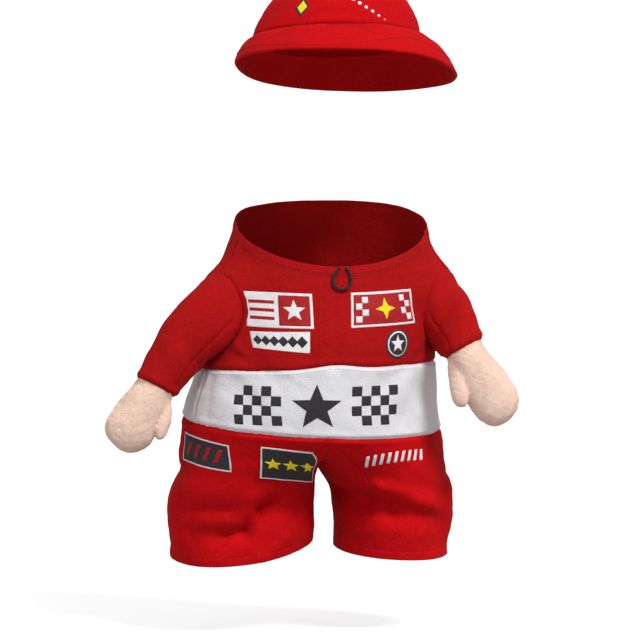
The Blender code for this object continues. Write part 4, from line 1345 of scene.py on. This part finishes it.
def crown_top(name, material):
    reach = 2 * spaced(TIP_WIDTH) - 1
    return shell(name, TIP_SKIN, reach[None, :], reach[:, None], material, ALL_SUNK)


def brim_half(name, front, material):
    shares = shares_across(CROWN["side_seam"], BRIM_SPACED["radius"], FINE_PITCH)
    angle = half_round(front, CROWN["side_seam"], CAP_HALF_GAP, shares)
    under = -BRIM_UNDER / column(BRIM, BRIM_COLUMNS, "reach", wrapped(angle))
    out = under + (1 - under) * spaced(BRIM_SPACED["reach"], BRIM_SPACED["pitch"])[:, None]
    seams = {"start": SINKS, "end": SINKS}
    return shell(name, BRIM_SKIN, angle, out, material, seams, thick=BRIM_THICK)


def cloth_pieces(m):
    red, bright, white = m["red"], m["bright_red"], m["white"]
    dress(trunk_panel("cloth_chest", True, red), "chest")
    dress(trunk_panel("cloth_back", False, red), "back")
    for half, front in HALVES.items():
        dress(waistband(f"cloth_band_{half}", front, white), f"waistband_{half}")
    for side, side_name in SIDE_NAMES.items():
        dress(trouser(side, bright), f"trouser_{side_name}")
        dress(sleeve_piece(side, red), f"sleeve_{side_name}")
    for half, front in HALVES.items():
        dress(crown_half(f"cap_crown_{half}", front, bright), f"cap_{half}")
    dress(crown_top("cap_crown_top", bright), "cap_top")
    for half, front in HALVES.items():
        dress(brim_half(f"cap_brim_{half}", front, bright), f"brim_{half}")


# The neck loop
def loop_points(turn):
    """A teardrop that hangs from the front of the neck edge: it swings from one root to the other, wide
    in its middle, and lies a little off the chest."""
    swing = np.cos(math.pi * turn)
    belly = np.sin(math.pi * turn) ** LOOP["slimness"]
    across = swing * (LOOP["root"] + LOOP["half_width"] * 2 * belly)
    hang = ((1 - np.cos(2 * math.pi * turn)) / 2) ** LOOP["taper"]
    angle = -np.degrees(across / TRUNK[2][TRUNK_COLUMNS.index("half_front")])
    height = neck_edge(0.0) - LOOP["below_edge"] - LOOP["drop"] * hang
    lift = LOOP_THICK / 2 + LOOP["clear"]
    return TRUNK_SKIN.form(angle, height) + TRUNK_SKIN.normal(angle, height) * lift


def neck_loop(material):
    """A twisted cord: a tube of two strands, its section turning as it goes along the loop."""
    line = loop_points(np.linspace(0, 1, 140))
    ahead = unit(np.gradient(line, axis=0))
    side = unit(np.cross(ahead, np.array([0.0, 1.0, 0.0])))
    over = np.cross(side, ahead)
    run = run_along(line)
    turn = full_turn(16)
    twist = np.degrees(run / LOOP_TWIST * math.pi)[:, None]
    radius = LOOP_THICK / 2 * (LOOP["thin"] + LOOP["swells"] * np.abs(cos(turn[None] - twist)))
    rings = line[:, None] + circle(turn, side[:, None], over[:, None]) * radius[..., None]
    piece = new_piece("neck_loop_cord", material, *spindles(rings[None], line[:1], line[-1:]))
    stands_for(piece, "neck_loop")
    path = line * MM
    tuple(path[0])


# The stuffed arms and their mitten hands
def arm_rings(side):
    """The arm inside its sleeve, then the mitten's rings from the cuff to its tip, finely spaced."""
    turn = full_turn(64)
    along = np.linspace(ARM_STARTS[side], 0.99, 34)[:, None]
    skin = SLEEVE_SKINS[side]
    inset = ARM_INSET + ARM_NARROWS * (1 - along[..., None]) ** 2
    inside = skin.form(turn[None], along) - skin.normal(*np.broadcast_arrays(turn[None], along)) * inset
    centre, direction, outward, back = cuff_frame(side)
    share = np.linspace(HAND[0][0], HAND[-1][0], 40)
    wide, thick, inward = (v[:, None, None] for v in columns(HAND, HAND_COLUMNS, share).values())
    middle = centre + direction * (share * ARMS[side]["hand_long"])[:, None, None] - outward * inward
    ring = cos(turn)[None, :, None] * outward * wide + sin(turn)[None, :, None] * back * thick
    return np.concatenate([inside, middle + ring])


def thumb_form(side, root, tip):
    """Middle, axis and half length of the long ball between a thumb's two ends."""
    half = np.linalg.norm(tip - root) / 2 + THUMB[side]["radius"]
    return (root + tip) / 2, unit(tip - root), half


def thumb_rings(side):
    """A long ball beside the palm."""
    thumb = THUMB[side]
    centre, direction, outward, back = cuff_frame(side)
    ends = (
        centre + direction * along - outward * inward - back * forward
        for along, inward, forward in (thumb["root"], thumb["tip"])
    )
    middle, axis, half = thumb_form(side, *ends)
    across = unit(np.cross(axis, back))
    over = np.cross(across, axis)
    rise = np.linspace(-84, 84, 25)[:, None, None]
    turn = np.linspace(0, 360, 32, endpoint=False)[None, :, None]
    ring = cos(turn) * across + sin(turn) * over
    ball = middle + axis * sin(rise) * half + ring * cos(rise) ** THUMB_BLUNT * thumb["radius"]
    return ball, middle + axis * half * np.array([[-1.0], [1.0]])


def as_seen(obj):
    """The object with its modifiers worked in."""
    return obj.evaluated_get(bpy.context.evaluated_depsgraph_get())


def apply_modifiers(obj):
    bpy.context.view_layer.update()
    mesh = bpy.data.meshes.new_from_object(as_seen(obj))
    obj.modifiers.clear()
    obj.data = mesh


def vertex_values(mesh, name):
    values = np.empty(len(mesh.vertices) * 3, np.float32)
    mesh.vertices.foreach_get(name, values)
    return values.reshape(-1, 3).astype(float)


def points_of(mesh):
    return vertex_values(mesh, "co") / MM


def set_points(mesh, points):
    mesh.vertices.foreach_set("co", (points * MM).astype(np.float32).ravel())
    mesh.update()


STUFFING = {
    "quality": 5, "mass": 0.15, "tension_stiffness": 12, "compression_stiffness": 12,
    "shear_stiffness": 4, "bending_stiffness": 0.4, "use_pressure": True, "uniform_pressure_force": 4.0,
}
STUFFING_FRAMES = 20


def swell(obj):
    """Inflates a copy with cloth under pressure, without gravity, and returns its points after the last
    frame."""
    cloth = obj.modifiers.new("swell", "CLOTH")
    for name, value in STUFFING.items():
        setattr(cloth.settings, name, value)
    cloth.settings.effector_weights.gravity = 0
    cloth.collision_settings.use_collision = False
    cloth.point_cache.frame_start = 1
    cloth.point_cache.frame_end = STUFFING_FRAMES
    scene = bpy.context.scene
    for frame in range(1, STUFFING_FRAMES + 1):
        scene.frame_set(frame)
    moved = points_of(as_seen(obj).data)
    obj.modifiers.clear()
    scene.frame_set(1)
    return moved


def hand_piece(side, material):
    """The arm and hand as one skin, stuffed by a short cloth simulation, then grooved along its seam."""
    rings = arm_rings(side)
    arm = spindles(rings[None], rings[:1].mean(axis=1), rings[-1:].mean(axis=1))
    ball, poles = thumb_rings(side)
    skin = joined([arm, spindles(ball[None], poles[:1], poles[1:])])
    obj = new_piece(f"stuffed_hand_{SIDE_NAMES[side]}", material, *skin)
    remesh = obj.modifiers.new("skin", "REMESH")
    remesh.mode = "VOXEL"
    remesh.voxel_size = HAND_VOXEL * MM
    apply_modifiers(obj)
    centre, direction, _, _ = cuff_frame(side)
    rest = points_of(obj.data)
    moved = swell(obj) - rest
    outside = smooth_step((rest - centre) @ direction / SWELL["comes_over"])
    limit = SWELL["inside"] + (SWELL["hand"] - SWELL["inside"]) * outside
    far = np.linalg.norm(moved, axis=1)
    keep = limit * np.tanh(far / limit) / np.maximum(far, 1e-9)
    set_points(obj.data, rest + moved * keep[:, None])
    subdivision = obj.modifiers.new("smooth", "SUBSURF")
    subdivision.levels = 1
    subdivision.render_levels = 1
    apply_modifiers(obj)
    groove_hand(obj.data, side)
    obj.data.shade_smooth()
    stands_for(obj, f"hand_{SIDE_NAMES[side]}")


def thumb_meets(points, side):
    """How far points on the hand are from where thumb and palm meet: their distances from both, added."""
    centre, direction, outward, back = cuff_frame(side)
    offset = points - centre
    along = offset @ direction
    wide, thick, inward = columns(HAND, HAND_COLUMNS, along / ARMS[side]["hand_long"]).values()
    palm = np.hypot((offset @ outward + inward) / wide, (offset @ back) / thick)
    thumb = THUMB[side]
    middle, axis, half = thumb_form(side, np.array(thumb["root"]), np.array(thumb["tip"]))
    place = stack(along, -offset @ outward, -offset @ back) - middle
    lengthways = place @ axis
    from_axis = np.linalg.norm(place - lengthways[:, None] * axis, axis=1) / thumb["radius"]
    ball = np.sqrt((lengthways / half) ** 2 + from_axis ** (2 / THUMB_BLUNT))
    return np.abs(palm - 1) * HAND_MEAN_RADIUS + np.abs(ball - 1) * thumb["radius"]


def groove_hand(mesh, side):
    """The seam round the mitten's edge as a groove with small puckers, and a soft unevenness."""
    points = points_of(mesh)
    centre, direction, _, back = cuff_frame(side)
    along = (points - centre) @ direction
    through = (points - centre) @ back - HAND_SEAM["at"]
    groove = -HAND_SEAM["deep"] * bell(through, HAND_SEAM["wide"])
    crease = THUMB_CREASE["deep"] * bell(thumb_meets(points, side), THUMB_CREASE["wide"])
    groove = groove - crease * smooth_step((along - THUMB_CREASE["starts"]) / THUMB_CREASE["fades"])
    pucker = np.sin(2 * math.pi * along / HAND_SEAM["every"])
    ripple = HAND_SEAM["pucker"] * pucker * np.exp(-np.abs(through) / HAND_SEAM["fades"])
    soft = sum(rise * soft_noise(points, size, seed + side) for rise, size, seed in HAND_NOISE)
    inside = ARM_RELIEF["inside"]
    share = inside + (1 - inside) * smooth_step(along / ARM_RELIEF["comes_over"])
    out = (groove + ripple + soft) * share
    set_points(mesh, points + vertex_values(mesh, "normal") * out[:, None])


# What is sewn and printed on the cloth
def trims(m):
    """One piece for each colour of thread, and one for each ink of each print."""
    made = [
        new_piece(f"stitches_{name}", m[name], *joined(rows))
        for name, rows in (("red_thread", red_stitches()), ("white_thread", white_stitches()))
    ]
    prints = {
        "chest_right": chest_right_print(),
        "label": label_print(),
        "chest_left": chest_left_print(),
        "badge": badge_print(),
        "band": band_print(),
        "thighs": thigh_prints(),
        "cap": cap_print(),
    }
    for place, inks in prints.items():
        for colour, shapes in inks.items():
            inked = joined([ink(*shape) for shape in shapes])
            made.append(new_piece(f"print_{place}_{colour}", m[f"{colour}_ink"], *inked))
    for piece in made:
        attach(piece, "root")


# Camera, light and floor
VIEW = {"azimuth": -10.0, "elevation": 5.0, "far": 6.0, "width": 0.4224, "at": (-0.0066, -0.0495)}
SENSOR = 36.0
# The suns' azimuth, elevation, strength and angle
SUNS = {"key": (34.0, 50.0, 2.45, 18.0), "fill": (-50.0, 40.0, 0.55, 50.0)}
SKY = 0.45
WHITE = (1, 1, 1, 1)
FLOOR = {"grey": (0.4, 0.4, 0.4, 1), "glow": 0.75, "height": -254.0, "reach": 40000.0}


def camera():
    """Far off at the photograph's angle, with its picture as wide as VIEW says where the costume stands."""
    az, el = VIEW["azimuth"], VIEW["elevation"]
    right = np.array([cos(az), sin(az), 0.0])
    back = np.array([sin(az) * cos(el), -cos(az) * cos(el), sin(el)])
    up = np.cross(back, right)
    data = bpy.data.cameras.new("camera")
    data.sensor_width = SENSOR
    data.lens = SENSOR * VIEW["far"] / VIEW["width"]
    data.clip_end = 100.0
    obj = placed("camera", data)
    obj.location = right * VIEW["at"][0] + up * VIEW["at"][1] + back * VIEW["far"]
    obj.rotation_euler = (math.radians(90 - el), 0, math.radians(az))
    bpy.context.scene.camera = obj


def sun(name, azimuth, elevation, strength, angle):
    data = bpy.data.lights.new(name, "SUN")
    data.energy = strength
    data.angle = math.radians(angle)
    obj = placed(name, data)
    obj.rotation_euler = (math.radians(90 - elevation), 0, math.radians(azimuth))


def floor_glow(make):
    """White light from the floor, for the camera alone."""
    seen = make("ShaderNodeLightPath").outputs["Is Camera Ray"]
    return {"Emission Color": WHITE, "Emission Strength": times(make, seen, FLOOR["glow"])}


def surroundings():
    """A pale floor, two soft suns and a white sky."""
    scene = bpy.context.scene
    scene.view_settings.view_transform = "Standard"
    for name, values in SUNS.items():
        sun(name, *values)
    world = bpy.data.worlds.new("sky")
    scene.world = world
    world.use_nodes = True
    sky = world.node_tree.nodes["Background"]
    fill(sky, "Color", WHITE)
    fill(sky, "Strength", SKY)
    plain = {"Base Color": FLOOR["grey"], "Roughness": 0.9, "Specular IOR Level": 0.0}
    material = material_with("floor", floor_glow, **plain)
    corners = np.array([(-1, -1, 0), (1, -1, 0), (1, 1, 0), (-1, 1, 0)]) * FLOOR["reach"]
    corners[:, 2] = FLOOR["height"]
    new_piece("floor", material, corners, np.array([[0, 1, 2, 3]]))


def main():
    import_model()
    camera()
    m = make_materials()
    neck_loop(m["black_cord"])
    cloth_pieces(m)
    for side in SIDE_NAMES:
        hand_piece(side, m["flesh"])
    trims(m)
    surroundings()


main()
